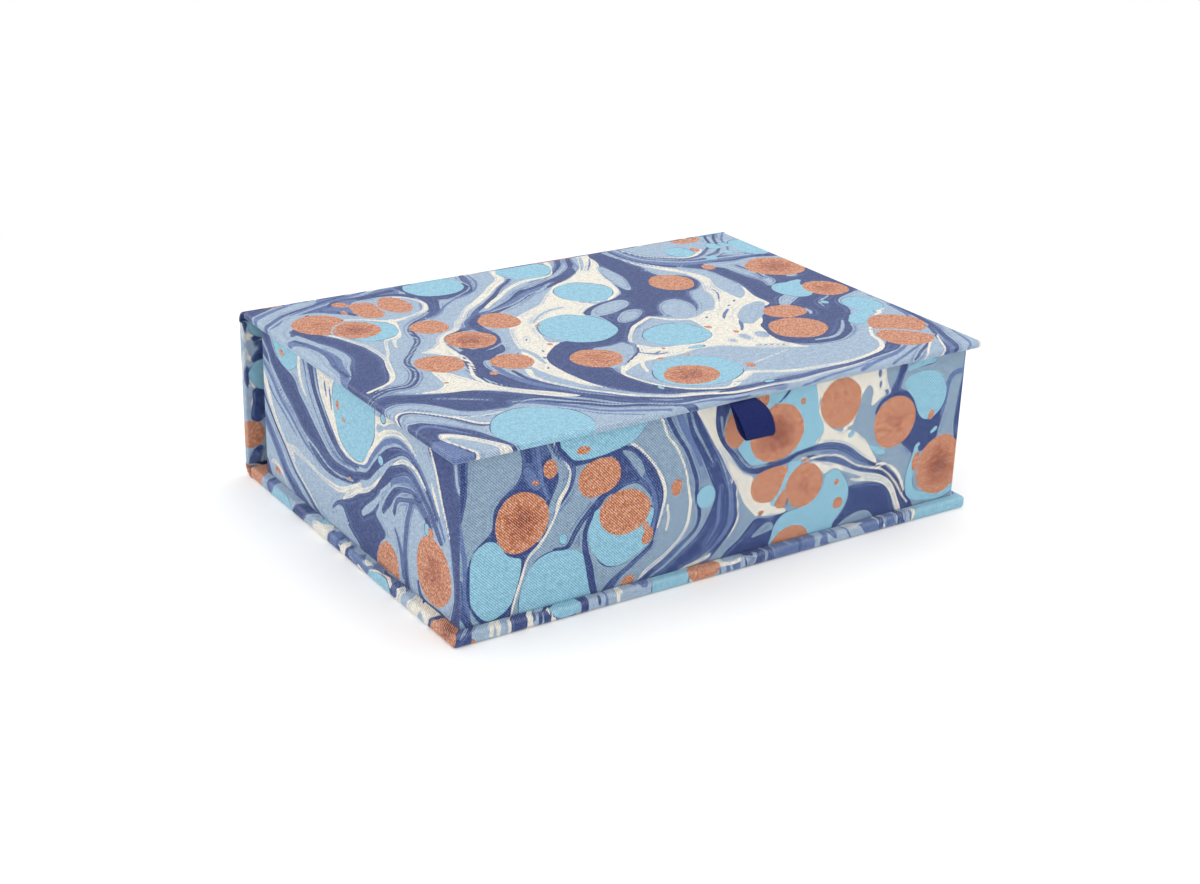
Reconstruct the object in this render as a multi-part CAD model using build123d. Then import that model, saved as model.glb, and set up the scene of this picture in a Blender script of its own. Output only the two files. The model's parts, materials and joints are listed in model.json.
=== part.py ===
from build123d import *
import os

# Book-style keepsake box: a cloth-covered case of base, spine and lid boards that folds
# at two cloth joints, round a four-walled tray glued on the base, with a ribbon pull
# loop under the lid's front edge.
# Frame: origin at the middle of the base's underside, +X along the long front,
# +Y from the front to the spine, +Z up. Sizes are in millimetres, with the box shut.

# Case, over its cloth
case_length = 250.0
case_depth = 178.0
case_height = 75.5
base_edge_radius = 1.6
lid_edge_radius = 1.2

# Sheet goods
cloth_thickness = 0.35
paper_thickness = 0.2
base_board_thickness = 4.5
lid_board_thickness = 2.4
spine_board_thickness = 2.4
wall_board_thickness = 2.4
tray_floor_thickness = 2.0

# Cloth joints: the outer radius that the cloth turns round at the foot and head of the spine
joint_radius = 5.6

# Turn-ins and linings
turn_in_width = 15.0
joint_lining_width = 12.0
lining_margin = 3.0
rim_turn_in = 15.0
wall_lining_drop = 4.0

# Tray: how far it stands in from the case's edges, and the gap under the shut lid
side_overhang = 4.5
front_overhang = 3.9
rear_overhang = 7.0
tray_edge_radius = 0.8
lid_clearance = 0.3

# Ribbon pull
ribbon_width = 12.7
ribbon_thickness = 0.175
ribbon_offset = 1.0
ribbon_reach = 11.8
ribbon_drop = 11.3
ribbon_outer_bulge = 2.9
ribbon_inner_bulge = 2.2
ribbon_nose_depth = 0.9
ribbon_nose_bulge = 0.3
ribbon_root_gap = 0.3
tail_length = 25.0
tail_side_clearance = 0.15

# Places worked out from the sizes above
left, right = -case_length / 2, case_length / 2
front, rear = -case_depth / 2, case_depth / 2
base_thickness = base_board_thickness + 2 * cloth_thickness
lid_thickness = lid_board_thickness + 2 * cloth_thickness
spine_outer_y = rear + joint_radius
spine_foot_z = joint_radius
spine_head_z = case_height - joint_radius
lid_board_under_z = case_height - cloth_thickness - lid_board_thickness
lid_underside_build = max(cloth_thickness, 2 * ribbon_thickness)
lid_lining_top_z = lid_board_under_z - lid_underside_build
lid_lining_under_z = lid_lining_top_z - paper_thickness

tray_left, tray_right = left + side_overhang, right - side_overhang
tray_front, tray_rear = front + front_overhang, rear - rear_overhang
tray_foot_z = base_thickness
rim_z = lid_lining_under_z - lid_clearance
wall_left, wall_right = tray_left + cloth_thickness, tray_right - cloth_thickness
wall_front, wall_rear = tray_front + cloth_thickness, tray_rear - cloth_thickness
wall_top_z = rim_z - cloth_thickness
room_left, room_right = wall_left + wall_board_thickness, wall_right - wall_board_thickness
room_front, room_rear = wall_front + wall_board_thickness, wall_rear - wall_board_thickness
floor_z = tray_foot_z + tray_floor_thickness
turn_in_foot_z = rim_z - rim_turn_in
wall_lining_top_z = rim_z - wall_lining_drop
lining_step = cloth_thickness + paper_thickness

ribbon_left = ribbon_offset - ribbon_width / 2
ribbon_right = ribbon_offset + ribbon_width / 2
ribbon_stack = 2 * ribbon_thickness


def block(x_span, y_span, z_span):
    """A box between three pairs of limits."""
    size = [high - low for low, high in (x_span, y_span, z_span)]
    middle = [(low + high) / 2 for low, high in (x_span, y_span, z_span)]
    return Pos(*middle) * Box(*size)


def along_x(profile, x_span):
    """A profile drawn in (y, z) and run along X between two limits."""
    low, high = x_span
    return Pos(low, 0, 0) * extrude(Plane.YZ * profile, amount=high - low)


def rounded_panel(inset, thickness, radius):
    """A board or wrap outline whose edges are rounded everywhere but along the joint."""
    body = block(
        (left + inset, right - inset),
        (front + inset, rear),
        (inset, thickness - inset),
    )
    joint_edges = body.edges().group_by(Axis.Y)[-1]
    soft_edges = [edge for edge in body.edges() if edge not in joint_edges]
    return fillet(soft_edges, radius - inset)


def panel_board(thickness, radius):
    """The stiff board of the base or the lid, set in from its wrap on all sides."""
    board = rounded_panel(cloth_thickness, thickness, radius)
    beyond = block(
        (left, right), (rear - cloth_thickness, rear + cloth_thickness), (0, thickness)
    )
    return board - beyond


def panel_cover(thickness, radius):
    """Cloth over a panel's outer face and three edges, turned in on its inner face."""
    wrap = rounded_panel(0, thickness, radius) - rounded_panel(cloth_thickness, thickness, radius)
    bare_middle = block(
        (left + turn_in_width, right - turn_in_width),
        (front + turn_in_width, rear),
        (thickness - cloth_thickness, thickness),
    )
    turned_ends = end_strips(
        block((left, right), (rear - cloth_thickness, rear), (cloth_thickness, thickness))
        & rounded_panel(0, thickness, radius)
    )
    return wrap - bare_middle + turned_ends


def end_strips(body):
    """What lies within a turn-in's width of the case's two ends."""
    middle = block(
        (left + turn_in_width, right - turn_in_width),
        (front - case_depth, rear + case_depth),
        (-case_height, 2 * case_height),
    )
    return body - middle


def middle_strip(body):
    """What lies between the turn-ins at the case's two ends."""
    return body - end_strips(body)


def panel_joint_lining(thickness):
    """Cloth strip over a panel's rear edge and the rear margin of its inner face."""
    inner_face = block(
        (left, right),
        (rear - joint_lining_width, rear),
        (thickness - cloth_thickness, thickness),
    )
    rear_edge = block(
        (left, right), (rear - cloth_thickness, rear), (cloth_thickness, thickness)
    )
    return middle_strip(inner_face + rear_edge)


def panel_infill(thickness):
    """Card that levels a panel's inner face between the turn-ins and the joint lining."""
    return block(
        (left + turn_in_width, right - turn_in_width),
        (front + turn_in_width, rear - joint_lining_width),
        (thickness - cloth_thickness, thickness),
    )


def upside_down(body):
    """The same piece turned over, for the lid and the joint at the head of the spine."""
    return Pos(0, 0, case_height) * mirror(body, about=Plane.XY)


def tail_slot():
    """Relief for the ribbon's two tails under the lid board."""
    return block(
        (ribbon_left - tail_side_clearance, ribbon_right + tail_side_clearance),
        (front - lid_edge_radius, front + tail_length + tail_side_clearance),
        (lid_board_under_z - lid_underside_build, lid_board_under_z),
    )


def joint_layer(outer_radius):
    """One cloth's thickness of the quarter turn between the base and the spine."""
    ring = Circle(outer_radius) - Circle(outer_radius - cloth_thickness)
    quarter = Pos(outer_radius / 2, -outer_radius / 2) * Rectangle(outer_radius, outer_radius)
    return along_x(Pos(rear, joint_radius) * (ring & quarter), (left, right))


def joint_cloth():
    """Outer cloth of the joint, doubled at its two ends by the turn-ins."""
    return joint_layer(joint_radius) + end_strips(joint_layer(joint_radius - cloth_thickness))


def joint_lining():
    """Lining cloth inside the joint, between the turned-in ends."""
    return middle_strip(joint_layer(joint_radius - cloth_thickness))


def spine_board():
    """Stiff board of the spine, in from the cloth on all sides."""
    return block(
        (left + cloth_thickness, right - cloth_thickness),
        (spine_outer_y - cloth_thickness - spine_board_thickness, spine_outer_y - cloth_thickness),
        (spine_foot_z + cloth_thickness, spine_head_z - cloth_thickness),
    )


def spine_channel():
    """One cloth's thickness round the spine board's foot, inner face and head."""
    inner_y = spine_outer_y - spine_board_thickness - 2 * cloth_thickness
    around = block(
        (left, right),
        (inner_y, spine_outer_y - cloth_thickness),
        (spine_foot_z, spine_head_z),
    )
    return around - spine_board()


def spine_cover():
    """Cloth over the spine's outer face and ends, turned in on its inner face."""
    outer_face = block(
        (left, right),
        (spine_outer_y - cloth_thickness, spine_outer_y),
        (spine_foot_z, spine_head_z),
    )
    return outer_face + end_strips(spine_channel())


def spine_lining():
    """Lining cloth over the spine's inner face, foot and head."""
    return middle_strip(spine_channel())


def lid_lining():
    """Paper pasted inside the lid, over the turn-ins and the ribbon's tails."""
    return block(
        (left + lining_margin, right - lining_margin),
        (front + lining_margin, rear - lining_margin),
        (lid_lining_under_z, lid_lining_top_z),
    )


def tray_floor_board():
    """Board between the feet of the four walls."""
    return block((room_left, room_right), (room_front, room_rear), (tray_foot_z, floor_z))


def long_wall(y_span):
    """Front or back wall board, over the full length of the tray."""
    return block((wall_left, wall_right), y_span, (tray_foot_z, wall_top_z))


def end_wall(x_span):
    """Left or right wall board, between the front and back walls."""
    return block(x_span, (room_front, room_rear), (tray_foot_z, wall_top_z))


def tray_cover():
    """Cloth round the four walls, over the rim and turned in at the top."""
    outside = block((tray_left, tray_right), (tray_front, tray_rear), (tray_foot_z, rim_z))
    foot_edges = outside.edges().group_by(Axis.Z)[0]
    outside = fillet([edge for edge in outside.edges() if edge not in foot_edges], tray_edge_radius)
    boards = block((wall_left, wall_right), (wall_front, wall_rear), (tray_foot_z, wall_top_z))
    turned_in = block(
        (room_left, room_right), (room_front, room_rear), (turn_in_foot_z, wall_top_z)
    )
    opening = block(
        (room_left + cloth_thickness, room_right - cloth_thickness),
        (room_front + cloth_thickness, room_rear - cloth_thickness),
        (tray_foot_z, rim_z),
    )
    return outside - (boards - turned_in) - opening


def tray_floor_lining():
    """Paper on the tray's floor."""
    return block(
        (room_left + paper_thickness, room_right - paper_thickness),
        (room_front + paper_thickness, room_rear - paper_thickness),
        (floor_z, floor_z + paper_thickness),
    )


def lining_profile(wall_face, inward):
    """Section of a wall lining: flat on the board, then stepped over the turn-in."""
    outline = [
        (0, floor_z),
        (0, turn_in_foot_z),
        (cloth_thickness, turn_in_foot_z),
        (cloth_thickness, wall_lining_top_z),
        (lining_step, wall_lining_top_z),
        (lining_step, turn_in_foot_z - paper_thickness),
        (paper_thickness, turn_in_foot_z - lining_step),
        (paper_thickness, floor_z),
    ]
    points = [(wall_face + inward * offset, height) for offset, height in outline]
    return make_face(Polyline(*points, close=True))


def long_lining(wall_face, inward):
    """Paper inside the front or back wall."""
    span = (room_left + lining_step, room_right - lining_step)
    return along_x(lining_profile(wall_face, inward), span)


def end_lining(wall_face, inward):
    """Paper inside the left or right wall."""
    profile = Plane.XZ * lining_profile(wall_face, inward)
    span = room_rear - room_front - 2 * lining_step
    return Pos(0, room_rear - lining_step, 0) * extrude(profile, amount=span)


def pull_ribbon():
    """Loop of ribbon that hangs in front of the lid's front edge."""
    root_y = front - ribbon_root_gap
    root_z = lid_board_under_z
    nose_y = front - ribbon_reach
    nose_z = lid_board_under_z - ribbon_drop
    nose_top = (nose_y, nose_z + ribbon_nose_depth)
    nose_foot = (nose_y + ribbon_nose_depth, nose_z)
    lower_layer = SagittaArc(
        (root_y, root_z - 3 * ribbon_thickness / 2), nose_foot, ribbon_inner_bulge
    )
    fold = SagittaArc(nose_foot, nose_top, ribbon_nose_bulge)
    upper_layer = SagittaArc(nose_top, (root_y, root_z - ribbon_thickness / 2), ribbon_outer_bulge)
    section = trace([lower_layer, fold, upper_layer], ribbon_thickness)
    return along_x(section, (ribbon_left, ribbon_right))


def ribbon_tails():
    """The ribbon's two ends, one on the other, pasted between lid board and lining."""
    tails = []
    for layer in range(2):
        top_z = lid_board_under_z - layer * ribbon_thickness
        tails.append(
            block(
                (ribbon_left, ribbon_right),
                (front, front + tail_length),
                (top_z - ribbon_thickness, top_z),
            )
        )
    return Compound(children=[Solid(tail.solid().wrapped) for tail in tails])


def all_pieces():
    """Every piece of the box, by the name of its node."""
    base = (base_thickness, base_edge_radius)
    lid = (lid_thickness, lid_edge_radius)
    return {
        "base_board": panel_board(*base),
        "base_cover": panel_cover(*base),
        "base_joint_lining": panel_joint_lining(base_thickness),
        "base_infill": panel_infill(base_thickness),
        "lower_joint_cloth": joint_cloth(),
        "lower_joint_lining": joint_lining(),
        "spine_board": spine_board(),
        "spine_cover": spine_cover(),
        "spine_lining": spine_lining(),
        "upper_joint_cloth": upside_down(joint_cloth()),
        "upper_joint_lining": upside_down(joint_lining()),
        "lid_board": upside_down(panel_board(*lid)),
        "lid_cover": upside_down(panel_cover(*lid)) - tail_slot(),
        "lid_joint_lining": upside_down(panel_joint_lining(lid_thickness)),
        "lid_infill": upside_down(panel_infill(lid_thickness)) - tail_slot(),
        "lid_lining": lid_lining(),
        "ribbon_tails": ribbon_tails(),
        "pull_ribbon": pull_ribbon(),
        "tray_floor_board": tray_floor_board(),
        "tray_front_wall": long_wall((wall_front, room_front)),
        "tray_back_wall": long_wall((room_rear, wall_rear)),
        "tray_left_wall": end_wall((wall_left, room_left)),
        "tray_right_wall": end_wall((room_right, wall_right)),
        "tray_cover": tray_cover(),
        "tray_floor_lining": tray_floor_lining(),
        "tray_front_lining": long_lining(room_front, 1),
        "tray_back_lining": long_lining(room_rear, -1),
        "tray_left_lining": end_lining(room_left, 1),
        "tray_right_lining": end_lining(room_right, -1),
    }


def write_parts():
    """Writes one STEP file for each piece."""
    os.makedirs("parts", exist_ok=True)
    for name, piece in all_pieces().items():
        export_step(piece, f"parts/{name}.step")


write_parts()
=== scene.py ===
"""Looks of a keepsake box covered in marbled cloth: its folding case, its tray and its ribbon pull."""

import json
import logging
import math
import random
from collections.abc import Callable, Sequence
from dataclasses import dataclass, field
from enum import Enum

import bmesh
import bpy
import numpy as np
from mathutils import Matrix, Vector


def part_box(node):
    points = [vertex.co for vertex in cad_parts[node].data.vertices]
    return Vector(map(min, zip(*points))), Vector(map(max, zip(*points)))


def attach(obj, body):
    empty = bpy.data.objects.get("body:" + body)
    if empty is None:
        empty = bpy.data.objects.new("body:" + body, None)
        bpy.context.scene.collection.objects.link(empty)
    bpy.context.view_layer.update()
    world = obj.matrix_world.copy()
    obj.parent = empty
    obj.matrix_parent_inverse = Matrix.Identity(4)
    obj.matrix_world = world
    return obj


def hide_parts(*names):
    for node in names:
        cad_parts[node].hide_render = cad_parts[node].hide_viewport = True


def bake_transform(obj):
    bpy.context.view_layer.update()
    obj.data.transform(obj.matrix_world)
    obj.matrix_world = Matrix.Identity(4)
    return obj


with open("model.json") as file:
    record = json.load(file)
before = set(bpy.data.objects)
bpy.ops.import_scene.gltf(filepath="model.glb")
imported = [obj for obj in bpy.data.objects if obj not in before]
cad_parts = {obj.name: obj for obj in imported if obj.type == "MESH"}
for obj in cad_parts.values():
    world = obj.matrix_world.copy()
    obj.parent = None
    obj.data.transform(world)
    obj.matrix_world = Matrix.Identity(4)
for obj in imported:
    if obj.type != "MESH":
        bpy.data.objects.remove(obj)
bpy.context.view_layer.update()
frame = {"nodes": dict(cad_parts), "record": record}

log = logging.getLogger("keepsake_box")

MM = 0.001
CLOTH_THICKNESS = 0.35 * MM
TURN_IN = 15.0 * MM
FINE_ROWS = 26.0 * MM
FINE_SHARE = 0.62
SMALL = 1e-7

# Millimetres on the flat cloth: how far depths are told, how far drawn shapes drift, and where
# the cloth round a joint begins.
DEEPEST = 3.0
SOFT_DRIFT = 0.6
JOINT_START = 90.0

# Copper ink from its palest speck to the dark heart of a drop.
COPPER_SHADES = (
    (0.0, (220, 160, 120)),
    (0.2, (190, 114, 70)),
    (0.4, (174, 92, 50)),
    (0.7, (162, 78, 28)),
    (1.0, (134, 54, 8)),
)


class Ink(Enum):
    """Inks of the marbled cloth, and the order in which they are floated."""

    MIDDLE_BLUE = (90, 114, 164)
    PERIWINKLE = (158, 179, 201)
    NAVY = (39, 63, 122)
    CREAM = (232, 227, 214)
    TURQUOISE = (140, 192, 214)
    COPPER = (205, 127, 80)


def linear(colour: Sequence[float]) -> tuple[float, float, float, float]:
    """Turns a colour written as 0 to 255 screen values into the scene's linear values.

    Args:
        colour: red, green and blue.

    Returns:
        Linear red, green and blue, and full opacity.
    """
    shares = [value / 255 for value in colour]
    lit = [share / 12.92 if share <= 0.04045 else ((share + 0.055) / 1.055) ** 2.4 for share in shares]
    return (lit[0], lit[1], lit[2], 1.0)


def through(points: Sequence[Sequence[float]], steps: int, closed: bool = False) -> np.ndarray:
    """Runs a smooth line through points, each with any number of values.

    Args:
        points: the points in order.
        steps: how many pieces each span is cut into.
        closed: whether the line comes back to its first point.

    Returns:
        The line's points, one row each.
    """
    knots = np.array(points, float)
    before = knots[-1] if closed else 2 * knots[0] - knots[1]
    after = knots[:2] if closed else (2 * knots[-1] - knots[-2])[None]
    knots = np.vstack([before, knots, after])
    shares = np.linspace(0, 1, steps, endpoint=False)[:, None]
    spans = []
    for before, start, end, after in zip(knots, knots[1:], knots[2:], knots[3:]):
        spans.append(
            start
            + 0.5 * shares * (end - before)
            + shares**2 * (before - 2.5 * start + 2 * end - 0.5 * after)
            + shares**3 * (1.5 * (start - end) + 0.5 * (after - before))
        )
    return np.vstack([*spans, knots[-2:-1]])


def near(cloth: np.ndarray, outline: np.ndarray, reach: float) -> np.ndarray:
    """Tells which places lie in the box round an outline, widened by a reach.

    Args:
        cloth: places on the flat cloth, one row each.
        outline: the outline's points.
        reach: how far past the outline the box goes.

    Returns:
        True or False for each place.
    """
    low, high = outline.min(0) - reach, outline.max(0) + reach
    return ((cloth >= low) & (cloth <= high)).all(1)


def away_from(cloth: np.ndarray, start: np.ndarray, end: np.ndarray) -> tuple[np.ndarray, np.ndarray]:
    """Measures places against one straight stretch.

    Args:
        cloth: places on the flat cloth, one row each.
        start: where the stretch begins.
        end: where it ends.

    Returns:
        For each place, the distance to the stretch, and the share of the way along it
        at which the place is nearest.
    """
    run = end - start
    share = np.clip((cloth - start) @ run / max(run @ run, SMALL), 0, 1)
    return np.linalg.norm(cloth - start - share[:, None] * run, axis=1), share


@dataclass(frozen=True)
class Stone:
    """A round drop of ink, in millimetres on the flat cloth.

    heart is how dark its middle is, from 0 to 1.
    """

    ink: Ink
    x: float
    y: float
    across: float
    along: float = 0.0
    tilt: float = 0.0
    heart: float = 0.0

    def share(self, cloth: np.ndarray) -> np.ndarray:
        """How far out from the middle each place lies, where 1 is the rim.

        Args:
            cloth: places on the flat cloth, one row each.

        Returns:
            One share for each place.
        """
        turn = math.radians(self.tilt)
        east = cloth[:, 0] - self.x
        north = cloth[:, 1] - self.y
        on_major = east * math.cos(turn) + north * math.sin(turn)
        on_minor = north * math.cos(turn) - east * math.sin(turn)
        return np.hypot(on_major / self.across, on_minor / (self.along or self.across))

    def depth(self, cloth: np.ndarray) -> np.ndarray:
        """How deep inside the drop each place lies, in millimetres, below 0 outside it."""
        return (1 - self.share(cloth)) * math.sqrt(self.across * (self.along or self.across))


@dataclass(frozen=True)
class Stroke:
    """A band of ink along a smooth line whose points are (x, y, half the band's width)."""

    ink: Ink
    points: tuple[tuple[float, float, float], ...]
    heart: float = 0.0

    def depth(self, cloth: np.ndarray) -> np.ndarray:
        """How deep inside the band each place lies, in millimetres, below 0 outside it.

        Args:
            cloth: places on the flat cloth, one row each.

        Returns:
            One depth for each place.
        """
        line = through(self.points, 5)
        deepest = np.full(len(cloth), -DEEPEST)
        close = near(cloth, line[:, :2], DEEPEST + line[:, 2].max())
        for start, end in zip(line, line[1:]):
            away, share = away_from(cloth[close], start[:2], end[:2])
            deepest[close] = np.maximum(deepest[close], start[2] + share * (end[2] - start[2]) - away)
        return deepest


@dataclass(frozen=True)
class Pool:
    """An area of ink inside a smooth closed outline."""

    ink: Ink
    outline: tuple[tuple[float, float], ...]
    heart: float = 0.0

    def depth(self, cloth: np.ndarray) -> np.ndarray:
        """How deep inside the pool each place lies, in millimetres, below 0 outside it.

        Args:
            cloth: places on the flat cloth, one row each.

        Returns:
            One depth for each place.
        """
        line = through(self.outline, 4, closed=True)
        depth = np.full(len(cloth), -DEEPEST)
        close = near(cloth, line, DEEPEST)
        places = cloth[close]
        nearest = np.full(len(places), 99.0)
        inside = np.zeros(len(places), bool)
        for start, end in zip(line, line[1:]):
            nearest = np.minimum(nearest, away_from(places, start, end)[0])
            if start[1] != end[1]:
                level = (places[:, 1] - start[1]) / (end[1] - start[1])
                crossed = start[0] + level * (end[0] - start[0]) > places[:, 0]
                inside ^= crossed & ((start[1] > places[:, 1]) != (end[1] > places[:, 1]))
        depth[close] = np.where(inside, nearest, -nearest)
        return depth


def stones(ink: Ink, *drops: Sequence[float]) -> list[Stone]:
    """Makes several round drops of one ink.

    Args:
        ink: what they are of.
        drops: for each, its x, y, across, along, tilt and heart, as Stone takes them.

    Returns:
        The drops, in the same order.
    """
    return [Stone(ink, *drop) for drop in drops]


def strokes(ink: Ink, *bands: Sequence[Sequence[float]]) -> list[Stroke]:
    """Makes several bands of one ink.

    Args:
        ink: what they are of.
        bands: each one's points, as Stroke takes them.

    Returns:
        The bands, in the same order.
    """
    return [Stroke(ink, tuple(band)) for band in bands]


@dataclass(frozen=True)
class Vein:
    """A line that the streaks follow. level says which streak of the drawing runs there."""

    level: float
    points: tuple[tuple[float, float], ...]


@dataclass(frozen=True)
class Drawing:
    """The marbling on one panel: veins that the streaks follow, and what is floated on them.

    painted_shade is painted shade: how much greyer and darker the pale blue is made there, for a face that
    gets less light, from 0 to 1.
    """

    veins: tuple[Vein, ...]
    marks: tuple[Stone | Stroke | Pool, ...]
    painted_shade: float = 0.0

    def streak(self, cloth: np.ndarray) -> np.ndarray:
        """Spreads the veins' levels smoothly over the cloth, as a thin plate bent through them.

        Args:
            cloth: places on the flat cloth, one row each, in millimetres.

        Returns:
            The level of each place.
        """
        lines = [through(vein.points, 3) for vein in self.veins]
        knots = np.vstack(lines) / 100
        levels = np.concatenate([np.full(len(line), v.level) for line, v in zip(lines, self.veins)])
        count = len(knots)

        def kernel(places: np.ndarray) -> np.ndarray:
            """Thin-plate weight of each knot at each place."""
            squares = ((places[:, None] - knots[None]) ** 2).sum(2)
            return squares * np.log(squares + 1e-9)

        system = np.zeros((count + 3, count + 3))
        system[:count, :count] = kernel(knots) + 1e-4 * np.eye(count)
        system[:count, count] = system[count, :count] = 1
        system[:count, count + 1 :] = knots
        system[count + 1 :, :count] = knots.T
        weights = np.linalg.solve(system, np.concatenate([levels, np.zeros(3)]))
        found = []
        for places in np.array_split(cloth / 100, len(cloth) // 4000 + 1):
            flat = weights[count] + places @ weights[count + 1 :]
            found.append(kernel(places) @ weights[:count] + flat)
        return np.concatenate(found)

    def depths(self, cloth: np.ndarray) -> tuple[dict[Ink, np.ndarray], np.ndarray]:
        """Floats each mark on those before it.

        Args:
            cloth: places on the flat cloth, one row each, in millimetres.

        Returns:
            How deep inside each ink's area every place lies, in millimetres, and how near
            it is to the dark heart of a drop.
        """
        depths = {ink: np.full(len(cloth), -DEEPEST) for ink in Ink}
        heart = np.zeros(len(cloth))
        for mark in self.marks:
            depth = np.clip(mark.depth(cloth), -DEEPEST, DEEPEST)
            for ink in Ink:
                if ink is mark.ink:
                    depths[ink] = np.maximum(depths[ink], depth)
                else:
                    depths[ink] = np.minimum(depths[ink], -depth)
            if mark.heart:
                heart = np.maximum(heart, mark.heart * (1 - mark.share(cloth)))
        return depths, heart


def scattered(seed: int, wide: tuple[float, float], high: tuple[float, float]) -> Drawing:
    """Draws marbling of the same kind for a panel that has no drawing of its own.

    Args:
        seed: which drawing of the kind it is.
        wide: lowest and highest x of the panel, in millimetres.
        high: lowest and highest y.

    Returns:
        The drawing.
    """
    chance = random.Random(seed)
    width, height = wide[1] - wide[0], high[1] - high[0]
    veins = []
    lines = max(5, round(width / 32))
    for order in range(lines + 1):
        start = wide[0] + width * (order / lines * 1.2 - 0.2)
        points = []
        for step in range(5):
            swing = 14 * math.sin(1.9 * step + 0.8 * order) + chance.uniform(-5, 5)
            points.append((start + width * 0.05 * step + swing, high[0] + height * step / 4))
        veins.append(Vein(order / lines, tuple(points)))
    marks: list[Stone | Stroke | Pool] = []
    for vein in veins:
        for ink, offset, half in ((Ink.NAVY, 3, 2.8), (Ink.CREAM, 7.5, 1.5), (Ink.MIDDLE_BLUE, 11, 1.6),
                                  (Ink.NAVY, 13.5, 0.9), (Ink.CREAM, 17, 0.8)):
            line = []
            for x, y in vein.points:
                line.append((x + offset * chance.uniform(0.75, 1.2), y, half * chance.uniform(0.5, 1.4)))
            marks.append(Stroke(ink, tuple(line)))
    placed: list[tuple[float, float, float]] = []
    area = width * height / 1000
    for ink, density, sizes in (
        (Ink.TURQUOISE, 0.5, (8, 17)), (Ink.COPPER, 0.75, (7.5, 12)), (Ink.COPPER, 0.4, (1, 2.6)),
    ):
        for _ in range(max(1, round(area * density))):
            size = chance.uniform(*sizes)
            for _ in range(30):
                x, y = chance.uniform(*wide), chance.uniform(*high)
                if all(math.hypot(x - px, y - py) > 0.85 * (size + ps) for px, py, ps in placed):
                    break
            else:
                continue
            placed.append((x, y, size))
            tilt = chance.uniform(0, 180)
            heart = chance.uniform(0, 1.1) if ink is Ink.COPPER and size > 5 else 0.0
            if ink is Ink.TURQUOISE:
                marks.append(Stone(Ink.NAVY, x, y, size + 1.4, size + 1, tilt))
            marks.append(Stone(ink, x, y, size, size * chance.uniform(0.82, 1.0), tilt, heart))
    return Drawing(tuple(veins), tuple(marks))


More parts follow.
